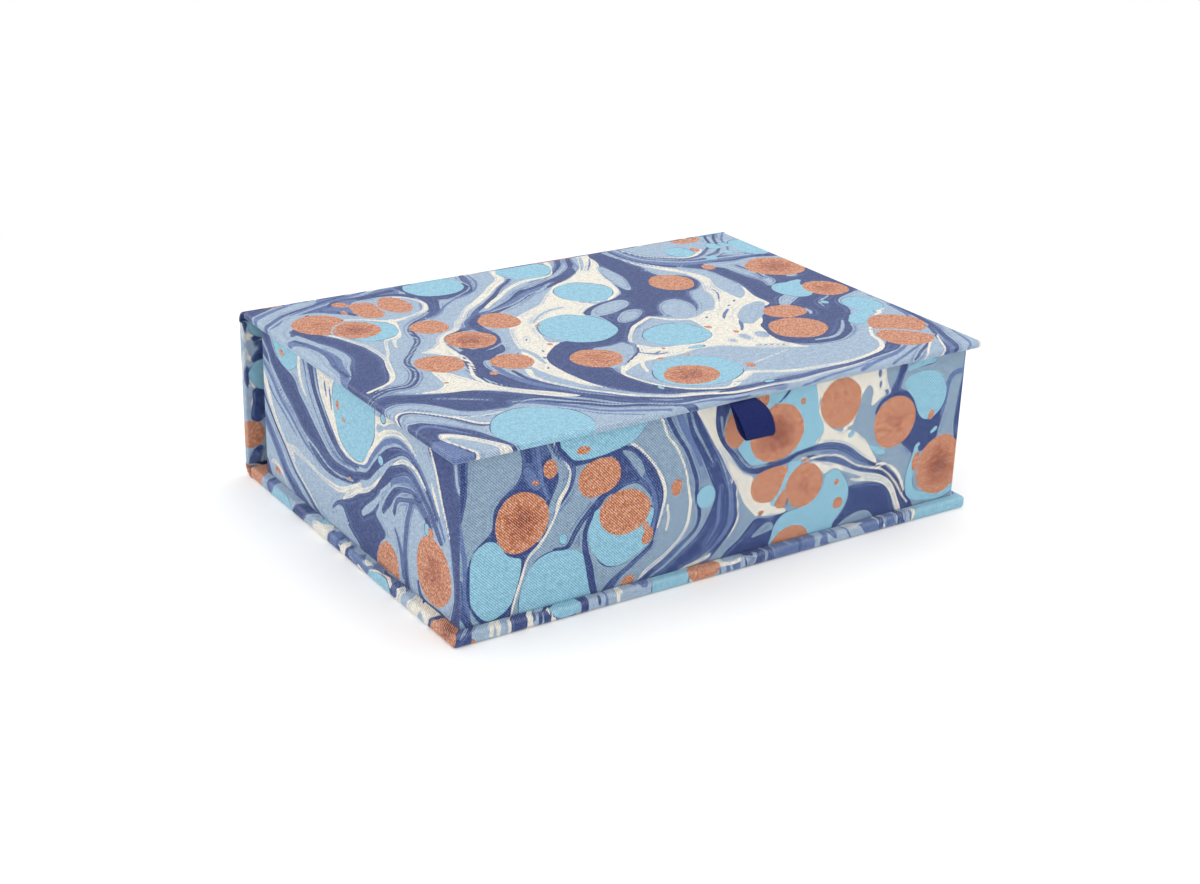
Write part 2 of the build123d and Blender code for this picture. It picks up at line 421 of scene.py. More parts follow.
def lid_drawing() -> Drawing:
    """The marbling on the lid, in millimetres from its middle, x to the right and y to the spine."""
    veins = (
        Vein(0, ((-125, -80), (-110, -89))),
        Vein(0.12, ((-125, -50), (-105, -62), (-88, -89))),
        Vein(0.25, ((-125, -22), (-100, -32), (-70, -52), (-45, -76), (-30, -89))),
        Vein(0.4, ((40, 89), (0, 62), (-50, 36), (-80, -5), (-72, -40), (-40, -72), (0, -86), (90, -87))),
        Vein(0.6, ((50, 89), (20, 62), (-20, 38), (-52, 5), (-58, -30), (-38, -62), (0, -81), (90, -83))),
        Vein(0.75, ((52, 89), (62, 55), (78, 20), (76, -5))),
        Vein(0.9, ((60, 89), (80, 60), (125, 45))),
        Vein(1, ((85, 89), (125, 65))),
    )
    marks = (
        Pool(Ink.PERIWINKLE, ((-160, -120), (-160, 120), (160, 120), (160, -120))),
        Pool(Ink.MIDDLE_BLUE, ((-130, 60), (-120, 66), (-114, 72), (-104, 73.5), (-96, 70), (-89, 64.5),
            (-85, 61.5), (-85, 72), (-78, 80), (-66, 80), (-58, 79), (-55, 84), (-55, 94), (-86, 94),
            (-96, 84), (-108, 78), (-130, 66))),
        Stroke(Ink.NAVY, ((-128, 84, 4), (-118, 89, 4), (-110, 94, 3))),
        Stroke(Ink.MIDDLE_BLUE, ((-128, 76, 1.6), (-112, 85, 1.2), (-100, 91, 1))),
        Stroke(Ink.NAVY, ((-128, 64, 0.6), (-113, 77, 0.8), (-97, 83, 0.7), (-82, 87.6, 0.6),
            (-70, 91, 0.5))),
        Stroke(Ink.PERIWINKLE, ((-128, 61, 0.5), (-116, 72.5, 0.6), (-104, 77, 0.6), (-88, 82, 0.7),
            (-72, 86.4, 0.8), (-60, 91, 0.6))),
        *strokes(Ink.NAVY, ((-104, 75, 0.6), (-92, 78, 1.2), (-84, 83, 1), (-68, 84, 1.2),
            (-58, 85, 1.4)), ((-96, 74, 0.8), (-90, 69, 1.4), (-86, 64, 1)), ((-76, 81.6, 0.8),
            (-66, 81, 0.9), (-58, 78.5, 1.4), (-54, 74, 2))),
        Stroke(Ink.PERIWINKLE, ((-116, 63, 0.6), (-111, 72.5, 0.8), (-102, 73.6, 0.9), (-95, 69, 1.2),
            (-89, 62.5, 1.8), (-82, 55, 2), (-78, 52, 1.6))),
        *strokes(Ink.NAVY, ((-120, 52, 1), (-112, 64, 1.2), (-104, 72, 0.8)), ((-117, 56, 2.5),
            (-111, 42, 4), (-105.5, 30, 5), (-106, 16, 6), (-110, 4, 7), (-118, -10, 7), (-128, -18, 6))),
        Stroke(Ink.MIDDLE_BLUE, ((-124, 44, 2.5), (-119, 38, 2), (-117, 22, 2), (-121, 4, 2),
            (-128, -8, 2))),
        *strokes(Ink.NAVY, ((-122, 46, 0.9), (-118.5, 38, 0.9), (-118.5, 24, 0.9), (-122, 0, 0.8)),
            ((-53, 92, 2.5), (-50, 76, 3.5), (-50, 64, 3), (-54, 54, 2.2), (-61, 47, 1.6), (-70, 43, 1),
            (-75, 35, 1.2), (-80, 22, 1.2), (-92, 6, 1.2), (-97, -8, 1.4), (-104, -19, 1.6),
            (-115, -20.5, 1.6), (-128, -27, 1.6)), ((-52, 77, 2), (-47, 69, 3.4), (-38, 66.6, 3),
            (-29, 71, 2.2), (-22, 84, 1.4), (-21, 92, 1)), ((-48, 70, 3.4), (-52, 62, 2.4),
            (-57, 54, 1.2))),
        Stroke(Ink.MIDDLE_BLUE, ((-18, 90, 0.6), (-20, 78, 0.7), (-28, 68, 0.7), (-40, 62, 0.7),
            (-50, 54, 0.8), (-58, 46.6, 0.6))),
        *strokes(Ink.PERIWINKLE, ((-24, 88, 0.4), (-26, 74, 0.5), (-36, 65.6, 0.5), (-46, 62, 0.4)),
            ((-61, 46.4, 0.4), (-70, 42.4, 0.4), (-75.4, 35, 0.4), (-80, 22, 0.5), (-92, 6, 0.5),
            (-97, -8, 0.5), (-104, -18.6, 0.6), (-115, -20.5, 0.5), (-128, -27, 0.5))),
        *strokes(Ink.NAVY, ((-5, 75, 0.7), (-17, 63, 0.9), (-30, 51, 1), (-45, 39, 1), (-52, 27, 1.6),
            (-58, 26, 1.6), (-66, 20, 1.4), (-67, 10, 1.5), (-66, 0, 1.5)), ((34, 93, 3.5), (26, 76, 4.2),
            (14, 66, 4.6), (2, 60, 4.2), (-10, 54, 3.5), (-22, 46, 3), (-33, 40, 2.6), (-43, 38, 2.8),
            (-49, 30, 3), (-49, 16, 2.4), (-53, 6, 3), (-60, -2, 3.4), (-64, -8, 2))),
        Stroke(Ink.PERIWINKLE, ((34, 91, 1.2), (27, 79, 1.6), (18, 71, 1.4), (5, 65, 1), (-6, 60, 0.6))),
        Stroke(Ink.MIDDLE_BLUE, ((10, 62, 1), (-4, 56.5, 1.6), (-16, 50, 1.8), (-28, 43, 1.4),
            (-40, 39, 1))),
        Stroke(Ink.PERIWINKLE, ((4, 57.5, 0.5), (-10, 51.5, 0.6), (-22, 44, 0.6), (-34, 40, 0.5))),
        Stroke(Ink.MIDDLE_BLUE, ((29, 92, 0.5), (22, 79, 0.7), (12, 71.5, 0.7), (0, 66.5, 0.6))),
        Stroke(Ink.NAVY, ((-68, 0, 4), (-71, -8, 4), (-73.5, -18, 3.4), (-72, -30, 3.4), (-67, -42, 3),
            (-57, -56, 2.4), (-47, -67, 2), (-38, -76, 1.8), (-25, -83, 1.6), (-5, -86, 1.2),
            (20, -88, 1))),
        Stroke(Ink.MIDDLE_BLUE, ((-66, -17, 1.4), (-67, -28, 1.6), (-63, -40, 1.6), (-53, -54, 1.3),
            (-38, -70, 1))),
        *strokes(Ink.NAVY, ((-63, -25, 0.8), (-62, -36, 0.9), (-52, -52, 0.8), (-38, -68, 0.7)),
            ((-61.4, -50, 1.4), (-56, -56, 1.4), (-50, -62.4, 1.3), (-43, -68.6, 1.2), (-36, -73.4, 1.2),
            (-27.5, -77.6, 1.2), (-19, -81.4, 1.2), (-9, -85.8, 1.2))),
        Pool(Ink.NAVY, ((-129, -31), (-118, -25.5), (-110, -28), (-100, -33.5), (-88, -35), (-80, -40.5),
            (-70, -50), (-60, -60), (-46, -73), (-34, -82), (-22, -88), (-20, -93), (-32, -93),
            (-45, -82), (-55, -72.5), (-66, -62), (-75, -59), (-92, -56), (-100, -52), (-105, -44),
            (-113, -36), (-120, -34), (-129, -39))),
        Stroke(Ink.PERIWINKLE, ((-104, -37, 0.5), (-94, -42, 0.8), (-86, -47, 0.6))),
        Pool(Ink.PERIWINKLE, ((-104, -52), (-98, -55.5), (-90, -58), (-84, -57), (-79, -55.2),
            (-72, -57.5), (-67, -61.5), (-61, -67), (-54, -72), (-47, -77), (-38, -81.6), (-28, -87),
            (-26, -94), (-70, -94), (-104, -94), (-104, -70))),
        *strokes(Ink.MIDDLE_BLUE, ((-79, -54.5, 0.8), (-71, -59, 1.3), (-64, -66.5, 1.2), (-58, -74, 1.1),
            (-50, -80, 1.2), (-42, -84.4, 1.2), (-33, -88, 1)), ((-68, -66, 0.4), (-61, -75, 0.6),
            (-52, -83, 0.7), (-44, -88, 0.6))),
        Stroke(Ink.PERIWINKLE, ((-80, -52.6, 0.6), (-71, -55, 0.9), (-64, -60, 0.9), (-56, -67, 0.7),
            (-47, -73.6, 0.7), (-38, -78.6, 0.6), (-28, -83, 0.4))),
        Stroke(Ink.MIDDLE_BLUE, ((-128, -42, 0.5), (-118, -41, 0.6), (-110, -47, 0.6), (-102, -56, 0.6),
            (-92, -62, 0.5))),
        Pool(Ink.NAVY, ((-129, -59), (-121, -55), (-117, -58), (-111, -64.4), (-106, -70.6), (-103, -78),
            (-101, -88), (-101, -94), (-129, -94))),
        Pool(Ink.MIDDLE_BLUE, ((-130, -74), (-121.6, -75), (-118.4, -84), (-115.6, -94), (-130, -94))),
        Stroke(Ink.MIDDLE_BLUE, ((-126, -62, 0.8), (-119.6, -59, 1.2), (-113, -66, 1), (-108, -73, 0.6))),
        Stroke(Ink.NAVY, ((-128, -51.4, 0.5), (-121, -44.8, 0.6), (-115, -47, 0.6), (-108, -56.4, 0.7),
            (-102.6, -65.6, 0.9), (-98.4, -68.6, 0.8))),
        *strokes(Ink.CREAM, ((-128, -50, 0.5), (-121, -43.4, 0.6), (-114.4, -46, 0.6), (-107, -55.6, 0.7),
            (-101.6, -64.4, 0.9), (-98, -67.4, 0.8)), ((-110.6, -51, 0.4), (-104, -56.4, 0.4),
            (-94, -59.6, 0.4), (-87, -59.6, 0.4))),
        Pool(Ink.CREAM, ((-120.6, -71), (-118.6, -67.8), (-115.4, -69), (-111.6, -72.4), (-107.8, -77.6),
            (-105, -83), (-102.8, -88), (-101.6, -94), (-114, -94), (-116, -87.4), (-119, -80),
            (-120.6, -75))),
        Pool(Ink.PERIWINKLE, ((-119.4, -74), (-117.6, -72.4), (-114.4, -75), (-110.6, -79.4),
            (-107.8, -85), (-107, -89), (-106.6, -94), (-113, -94), (-115, -87.4), (-118, -80))),
        *strokes(Ink.CREAM, ((-107, 47, 0.7), (-103, 36, 0.8), (-99.5, 27, 0.9), (-99.5, 12, 0.9),
            (-102, 3, 1.1), (-107, -9, 0.8), (-113, -15, 0.7), (-122, -19, 0.7)), ((-93, 60, 0.7),
            (-85, 57, 0.7), (-77, 50, 1.1), (-66, 51.5, 0.8), (-58, 55.5, 1.2), (-54, 62, 1),
            (-54.5, 69, 0.8), (-58, 75, 0.8), (-64, 77, 0.6)), ((-77, 50, 1.8), (-78, 42, 1),
            (-80, 36, 0.9), (-84, 31, 1.6), (-88, 30, 0.9), (-94, 20, 0.5), (-99, 10, 0.4)),
            ((-84, 31, 0.8), (-87, 26, 0.6), (-90, 20, 0.4)), ((-4, 93, 1.4), (-8, 78, 2), (-20, 66, 2),
            (-33, 54, 1.6), (-45, 44.5, 1.2), (-52, 36, 1.4), (-58, 28, 1.2), (-66, 24, 1.2),
            (-71, 18, 1.6), (-72.6, 8, 1.4), (-72.4, -6, 1.2), (-75.6, -16, 1.1), (-78.6, -24, 1),
            (-78.2, -32, 1), (-74.5, -40, 0.9), (-68, -47, 0.7))),
        Stroke(Ink.NAVY, ((-70.2, 13, 0.4), (-71.2, 2, 0.4), (-74, -12, 0.4), (-77.2, -22, 0.5),
            (-77.6, -30, 0.5), (-74.6, -37, 0.4), (-70.4, -43, 0.4))),
        Pool(Ink.NAVY, ((-70, 3), (-64, 3), (-57, 4.5), (-51, 4), (-48.6, 11), (-51.5, 0), (-55.5, -5),
            (-62, -6.5), (-66, -9), (-70, -12), (-70.4, -4))),
        Stroke(Ink.PERIWINKLE, ((-61, -0.6, 0.4), (-55, 1.6, 0.6), (-49.5, 5, 0.5))),
        Pool(Ink.CREAM, ((-71, 17), (-73, 6), (-72, -2), (-76, 2), (-80, 7), (-84, 10), (-78, 12))),
        Stroke(Ink.CREAM, ((23, 93, 1.2), (20, 80, 1.2), (13, 71.5, 1.3), (-2, 69, 1.2), (-14, 61, 0.9),
            (-25, 53, 0.9), (-34, 45.5, 0.7))),
        Pool(Ink.CREAM, ((-91, -11), (-86, -14), (-82.5, -22), (-80, -31), (-74, -39), (-64, -49),
            (-54, -60), (-64, -55.5), (-72, -47), (-80, -39), (-88, -34.5), (-97, -33.5), (-108, -27.5),
            (-99, -29.5), (-93, -26), (-92, -19))),
        Pool(Ink.CREAM, ((38, 93), (40, 83), (33, 74), (27, 69), (18, 62), (8, 57.5), (0, 50), (-11, 39),
            (-22, 33), (-31, 27), (-38, 19), (-43, 8), (-47, -2), (-51, -12), (-53.5, -24), (-52.5, -34),
            (-48.5, -46), (-43, -56), (-35, -66), (-27, -73), (-14, -80), (-26, -70), (-35, -61),
            (-41, -51), (-44, -41), (-44.5, -29), (-42, -19), (-37, -13), (-29, -7), (-33, -4), (-31, 4),
            (-30, 12), (-24, 19), (-14, 22), (-4, 17), (0, 18), (10, 25), (20, 29), (28, 36), (32, 48),
            (35, 58), (40, 68), (44, 80), (48, 93))),
        *strokes(Ink.PERIWINKLE, ((8, 62, 0.7), (-8, 49, 1), (-20, 38, 1.4), (-31, 30, 1.6),
            (-40, 19, 1.3), (-46, 4, 1.2), (-50, -8, 1.2), (-56, -18, 1.2), (-57, -30, 1.2),
            (-52, -44, 0.9), (-40, -60, 0.8)), ((-47, -6, 1.2), (-46, -14, 1.3), (-47, -24, 0.8)),
            ((28, 72, 0.8), (31, 77, 1.2), (38, 84, 0.8)), ((-4, 30, 0.8), (-12, 30, 1.1), (-20, 26, 0.9),
            (-26, 20, 0.7)), ((6, 33, 0.6), (13, 29, 1.1), (19, 32, 0.7))),
        Stroke(Ink.CREAM, ((-57, -27, 1.3), (-59, -36, 1), (-50, -54, 0.8), (-37, -69, 0.9),
            (-26, -76.4, 0.9), (-14, -81.4, 1), (-4, -84.6, 0.9), (6, -86.4, 0.8), (25, -87.2, 0.7),
            (40, -86.4, 0.7), (57, -85, 0.6), (73, -82, 0.6), (84, -78, 0.5), (90, -74, 0.4))),
        Pool(Ink.NAVY, ((46, 93), (53, 93), (56, 78), (57, 62), (56.5, 52), (58, 47), (64, 45),
            (67.6, 40), (68, 33), (66, 28), (61, 24.4), (55.4, 22.4), (51.5, 14.4), (48.6, 6.6), (44, 0),
            (39, -4), (32, -2), (27, 1.6), (19, 1.4), (12, -2), (3, -9.6), (-2, -16), (-5.4, -18.4),
            (-12, -18.6), (-20, -19), (-26, -30), (-26.6, -40), (-27.4, -50), (-24, -62), (-18, -71),
            (-8, -78), (8, -82), (30, -82.5), (54, -81.5), (76, -78.5), (87, -73), (93, -64), (94, -58),
            (96, -66), (91, -76), (81, -80.4), (64, -84), (34, -85.6), (8, -84.6), (-12, -79.4),
            (-28, -72.5), (-38, -62), (-43, -50), (-46, -38), (-45.5, -26), (-42, -16), (-34, -9),
            (-25, -6), (-18, -12), (-6, -10), (2, 0), (3, 12), (-2, 20), (8, 27), (20, 30), (28, 34),
            (31, 42), (33, 50), (39, 64), (43, 78))),
        Pool(Ink.CREAM, ((56, 76), (62, 62), (67, 54), (70, 47), (69, 42), (69, 33), (67, 27), (62, 20),
            (58, 10), (54, 1), (50, -3), (46, -3), (42, -5), (37, -7), (34, -8), (33, -18), (29, -27),
            (20, -33), (10, -32.5), (0, -28), (-5, -22), (-8, -30), (-14, -36), (-26, -46), (-18, -45),
            (-6, -41), (6, -41), (18, -39.5), (28, -42), (36, -48), (45, -54), (56, -59), (68, -61),
            (57, -58.5), (53, -50), (55, -40), (55, -30), (60, -25), (66, -17), (71, -10), (77, -7),
            (78, 4), (80, 14), (81.5, 24), (78.5, 38), (74, 46), (68, 55), (61, 66))),
        Pool(Ink.PERIWINKLE, ((22, 1), (26, -5), (34, -9), (33.5, -20), (28, -29), (18, -33.5), (8, -31),
            (0, -27), (-3.5, -21), (0, -14), (8, -5))),
        Stroke(Ink.CREAM, ((-3, -20, 0.6), (1, -12, 0.7), (9, -4, 0.8), (18, 0.5, 0.8), (22, 1.5, 0.9),
            (27, -5, 0.8), (33, -8, 0.7))),
        Pool(Ink.PERIWINKLE, ((-22, -19), (-14, -18.4), (-5.6, -18), (-5.4, -26), (-11, -33.4),
            (-17, -38), (-24, -40), (-28, -39), (-24, -30))),
        Stroke(Ink.NAVY, ((-5, -18, 0.4), (-5, -26, 0.5), (-11, -34, 0.5), (-18, -39, 0.4))),
        Stroke(Ink.PERIWINKLE, ((54, 93, 1), (56, 78, 1.4), (58, 66, 2), (63, 57, 2), (68, 50, 1.2))),
        *strokes(Ink.CREAM, ((55, 80, 0.3), (57, 68, 0.5), (62, 58.4, 0.9), (67, 52, 1.4), (71, 45, 1.8),
            (71.5, 37, 1.8)), ((45.4, 93, 2.4), (40, 83, 2.6), (34.6, 75, 2.4), (28, 69, 1.4))),
        Stroke(Ink.PERIWINKLE, ((41, 88, 0.6), (36, 79, 0.8), (30, 71, 0.6))),
        Stroke(Ink.MIDDLE_BLUE, ((43, 84, 0.4), (38, 76, 0.6), (33, 70, 0.5))),
        Pool(Ink.NAVY, ((58, 93), (61, 80), (63, 70), (70, 59), (75, 52), (81, 44), (83, 30), (81, 16),
            (78.5, 3), (77, -7), (70.5, -10.5), (65, -17), (60, -25), (54.5, -30), (52, -42), (52, -50),
            (56, -55), (65, -58), (74, -58.5), (81, -56), (87, -51), (92, -43), (100, -35), (103, -30),
            (104, -22), (108, -17), (120, -12), (129, -7), (129, 25), (118, 24), (106, 27), (100, 26),
            (96, 28), (94, 34), (92, 42), (85, 52), (96, 54), (128, 46), (128, 52), (96, 59), (82, 61),
            (70, 68), (64, 79), (61, 93))),
        *strokes(Ink.PERIWINKLE, ((87, 49, 2), (94, 43, 3.8), (95, 30, 3.8), (97, 19, 3.4),
            (94, 14, 1.6)), ((101, 42, 2), (102.6, 34, 2.4), (103, 26, 1.6))),
        Stroke(Ink.NAVY, ((97.6, 44, 0.5), (99, 38, 0.7), (98.6, 30, 0.6), (97, 23, 0.4))),
        Stone(Ink.PERIWINKLE, 111, 20, 3, 1.8),
        *strokes(Ink.PERIWINKLE, ((65, -53.5, 0.9), (76, -54, 1.1), (84, -48, 1), (91, -40, 0.7)),
            ((87, -20, 0.6), (86, -24, 0.9), (84, -27, 0.6)), ((82.4, -11, 2.8), (88, -6.5, 3.6),
            (94, -2, 3)), ((95.6, -21.6, 0.5), (98.6, -15.4, 0.7), (107, -11.6, 0.6))),
        Stroke(Ink.MIDDLE_BLUE, ((59, 93, 2.6), (62, 76, 3), (69, 64, 3.6), (80, 57, 3.4),
            (92, 54.6, 2.8), (108, 54.6, 2.2), (128, 51, 2.4))),
        *strokes(Ink.PERIWINKLE, ((60, 88, 0.5), (63.6, 73, 0.6), (71, 63.6, 0.7), (83, 58, 0.7),
            (98, 56.4, 0.7), (122, 53.4, 0.6)), ((57.6, 84, 0.4), (61, 69, 0.5), (67, 60, 0.6),
            (77, 53, 0.5))),
        *strokes(Ink.NAVY, ((57, 90, 0.6), (59, 74, 0.7), (64, 62.6, 0.9), (72, 55, 1)), ((92, 53, 0.8),
            (104, 51, 1), (118, 51, 0.9), (128, 48, 0.8))),
        Stroke(Ink.PERIWINKLE, ((100, 64, 3), (112, 60, 3.4), (128, 57, 3))),
        Pool(Ink.PERIWINKLE, ((62, 93), (66, 80), (74, 70), (84, 65.5), (93, 67), (101, 73), (108, 82),
            (113, 93))),
        Stroke(Ink.NAVY, ((61.6, 90, 0.5), (66, 77, 0.6), (73, 68.4, 0.7), (82, 63.4, 0.8),
            (90, 63.4, 0.8), (96, 66.6, 0.8), (102.4, 72, 0.7), (108, 79, 0.7), (114, 90, 0.6))),
        Stroke(Ink.CREAM, ((62.6, 88, 0.3), (67, 76.6, 0.4), (74, 69, 0.5), (81, 65.2, 0.6),
            (88, 64.8, 0.7), (93.4, 67.6, 1), (98, 71.4, 0.6))),
        Stroke(Ink.NAVY, ((94, 61.4, 0.5), (101, 63, 0.7), (106, 67.6, 0.6), (109.6, 75, 0.6),
            (116.4, 86, 0.6), (119, 93, 0.5))),
        *strokes(Ink.MIDDLE_BLUE, ((107, 60, 0.5), (110.4, 67.6, 0.7), (115, 77, 0.7), (123, 89, 0.6)),
            ((99, 58.6, 0.6), (106, 61, 0.6), (112, 58.6, 0.6), (116, 54, 0.6))),
        *stones(Ink.PERIWINKLE, (37.5, 54, 18, 3.8, 78), (12.5, 20.5, 13, 5.5, 22),
            (14.5, 7.8, 9.5, 4.8, 35), (37.5, 5.5, 13, 8, 58), (56.4, 12.6, 12, 4.3, 71)),
        Stroke(Ink.MIDDLE_BLUE, ((60, 5, 0.4), (65, 15, 0.6), (68.4, 24, 0.4))),
        *strokes(Ink.PERIWINKLE, ((74, 46, 1.2), (77.5, 34, 3), (76, 22, 5), (73.5, 12, 4.4),
            (71, 6, 1.6)), ((73, -5, 2.6), (67, -9, 4.6), (60, -16, 5), (54, -23, 2.6)), ((56, 57, 0.7),
            (62, 48, 0.9), (64, 40, 0.7)), ((70, 50, 0.6), (75, 42, 0.8))),
        Pool(Ink.PERIWINKLE, ((-26, -50), (-22, -45), (-12, -41.5), (-2, -41.5), (8, -41), (18, -41),
            (28, -44), (36, -50.5), (46, -56.5), (56, -60.5), (68, -60.5), (77, -59), (86, -52),
            (94, -44), (92, -56), (88, -66), (84, -73), (72, -77), (54, -78.5), (36, -77.5), (24, -72),
            (16, -70), (10, -75), (0, -79.5), (-10, -77), (-18, -69), (-24, -60))),
        *strokes(Ink.CREAM, ((-22, -41, 0.6), (-26.5, -49, 0.7), (-25, -59, 0.7), (-18, -70, 0.7),
            (-9, -77.5, 0.7), (1, -80, 0.9), (12, -74, 2.2), (18, -71, 1.6)), ((18, -71, 1.6),
            (24, -73.5, 1.4), (36, -78.5, 1.3), (54, -80.3, 1.2), (72, -79, 1.1), (83, -75, 1),
            (88, -68, 0.8), (89, -61, 0.7), (95, -53, 0.7)), ((26, -64, 0.3), (36, -61, 0.35),
            (47, -57.6, 0.3))),
        Stroke(Ink.PERIWINKLE, ((6, -77, 0.5), (16, -78, 1), (28, -79.5, 0.8))),
        *strokes(Ink.MIDDLE_BLUE, ((10, -83.4, 0.5), (30, -84.6, 0.6), (52, -83.8, 0.5)), ((60, -89, 0.9),
            (78, -84, 1.2), (90, -78.6, 1), (95, -75, 0.6)), ((76, -90, 0.7), (90, -83.4, 1),
            (99, -79.4, 0.8)), ((30, -90, 0.6), (50, -88.6, 0.7), (66, -86, 0.5))),
        Stroke(Ink.NAVY, ((88, -90, 0.5), (98, -83.6, 0.7), (106, -78, 0.6))),
        *stones(Ink.PERIWINKLE, (41.8, -37, 2.3, 4), (49.6, -38.2, 2.8, 3.8), (34.4, -38, 1.4, 1.8)),
        Stroke(Ink.MIDDLE_BLUE, ((40, -47.4, 0.5), (50, -53, 0.6))),
        Stroke(Ink.CREAM, ((-10, -39, 0.5), (-15, -45, 0.8), (-17.6, -51, 0.5))),
        *stones(Ink.MIDDLE_BLUE, (-1.4, -34.6, 2, 0.7, 20), (60, -1, 1.5, 0.6, 35), (66, 3, 1.5, 0.6, 40),
            (42, -9, 1.6, 0.6, 40), (-51, -9, 1.1, 0.6, 40), (-41, -11, 1.8, 0.6, 80),
            (-44, -18, 1.8, 0.6, 70), (-49, -29, 1.5, 0.6, 60), (-39, 3, 1.8, 0.6, 65)),
        *strokes(Ink.MIDDLE_BLUE, ((48, -14, 0.7), (52, -9, 0.9), (56, -5, 0.6)), ((45, -30, 0.6),
            (49, -24, 0.9), (52, -20, 0.6)), ((-9, -31, 0.6), (-3, -36, 0.9), (2, -37, 0.6)),
            ((123, -36, 2), (121, -54, 2.8), (118, -68, 2.8), (112, -80, 2.6), (105, -94, 2.4))),
        Stroke(Ink.NAVY, ((124, -34, 0.8), (122.4, -52, 1), (119.4, -66, 1), (115, -78, 1),
            (109, -94, 1))),
        Stroke(Ink.PERIWINKLE, ((121, -48, 0.5), (118.6, -62, 0.6), (114.6, -73, 0.6), (108, -85, 0.6))),
        Stroke(Ink.NAVY, ((118, -64, 0.6), (114, -72.6, 0.8), (108.6, -83, 0.8), (104, -94, 0.7))),
        Stroke(Ink.MIDDLE_BLUE, ((122, -18, 0.5), (124, -28, 0.6), (121, -36, 0.5))),
        *strokes(Ink.CREAM, ((94, -91, 0.4), (103, -81, 0.5), (110, -76, 0.4)), ((115.6, -36.4, 0.8),
            (112.4, -37.2, 0.9), (111.8, -39.8, 0.9), (108.6, -41.6, 0.7))),
        *stones(Ink.TURQUOISE, (-90, 43, 12), (-39.6, 81.5, 13.3, 12.8), (7.6, 82, 13, 11),
            (14.4, 44, 13, 12.8), (-13.6, 5, 16.3, 17.2), (18, -21, 14.5, 13), (0.5, -59.5, 18.7, 15.8),
            (-82.5, -79.5, 19.3, 19.5), (98, 3, 8.5, 10)),
        Stroke(Ink.TURQUOISE, ((99, 6, 4), (104, 9.5, 3), (109, 12, 1.2))),
        Stone(Ink.TURQUOISE, 112.5, -27, 8.5, 9.5),
        Stroke(Ink.TURQUOISE, ((96, -44, 4), (101, -40, 4.4), (107, -37, 3))),
        *stones(Ink.TURQUOISE, (86, 72.5, 6.5, 7.2), (105.8, 73, 3.2, 4.6), (112, 73, 2.4, 3.6),
            (107.6, 62.4, 1.8, 2.6), (99.6, -17.2, 1.5, 1.9), (94.6, 58.2, 2.8, 2.8),
            (121, 64.6, 8, 12.4), (16, -37.5, 3.5, 1.3), (18.5, -83, 2, 1.4), (-22.5, -68, 1, 1.8)),
        *stones(Ink.COPPER, (-104.6, 59.2, 11.3, 12.3, 0, 0.5), (-94.4, 47, 10.1, 10.4, 0, 1)),
        Stroke(Ink.PERIWINKLE, ((-105.4, 46, 0.6), (-103.6, 49.6, 0.5), (-99, 54.6, 0.5),
            (-93.6, 58, 0.5))),
        Stone(Ink.COPPER, -78.9, 67.3, 6.8, 10.8),
        Stroke(Ink.PERIWINKLE, ((-72.6, 78, 0.5), (-72.4, 68, 0.7), (-72.6, 57, 0.5))),
        *stones(Ink.COPPER, (-65.6, 67.5, 6.4, 11), (-85.8, 78.3, 3.4, 3), (-89.2, 69, 1.2, 2.5),
            (-66.2, 35.6, 8.2, 8), (-59.2, 13.8, 10.3, 10.4, 0, 1), (-37.3, 28.8, 8.9, 9.9),
            (-83.8, -4.6, 9.4, 10), (-57.5, -15.8, 8.5), (-26, -29, 10.5, 10.2, 0, 0.6),
            (-4, -62, 11.4, 10.1, -10, 1), (56.4, 36.7, 10, 11.1), (112.5, 33.8, 14, 13.2, 0, 1),
            (112.8, -2, 9.9, 10.3, 0, 0.8), (76.3, -19, 10, 8, -15), (68, -38.5, 13, 12),
            (108, -55, 12.5, 12.2)),
        Stroke(Ink.PERIWINKLE, ((93, -55, 0.6), (101, -58.5, 0.8), (109, -66, 0.8), (114, -74, 0.6))),
        Pool(Ink.COPPER, ((90.5, -62), (94, -59.2), (100, -60), (106, -65.5), (111.5, -71.5),
            (110, -76.5), (103, -79.8), (95, -78), (90, -72))),
        *stones(Ink.COPPER, (100.5, 88, 8, 5.5), (84.3, 47.2, 2.8, 3.8, -20), (95, 72.5, 2, 3),
            (-70.8, -23.7, 1.8), (-91.3, -24, 1), (-34, -6.3, 1.2), (-26.5, 16, 1.4, 1),
            (35.5, -19.7, 1.5, 1.8), (42, -30, 1.2, 1.8), (-4, -41.5, 1.5, 1), (8, -43, 1), (3.5, -32, 1),
            (23, -65, 2, 2.6)),
        Stroke(Ink.CREAM, ((102, -93, 0.4), (108, -83, 0.45), (113, -75, 0.4))),
        Stroke(Ink.PERIWINKLE, ((112, -93, 0.5), (117, -81, 0.6), (121.6, -68, 0.6), (124, -54, 0.5))),
        Stroke(Ink.MIDDLE_BLUE, ((116, -94, 0.6), (120, -84, 0.8), (124, -72, 0.7))),
        Stroke(Ink.NAVY, ((-6, -83.2, 0.5), (14, -84.2, 0.5), (36, -85, 0.5), (56, -84.2, 0.5),
            (74, -81, 0.5))),
        Stroke(Ink.MIDDLE_BLUE, ((-30, -86.4, 0.6), (-14, -88.4, 0.7), (4, -89.6, 0.6))),
        Stone(Ink.CREAM, 126, -90, 3.4, 3.4),
    )
    return Drawing(veins, marks)


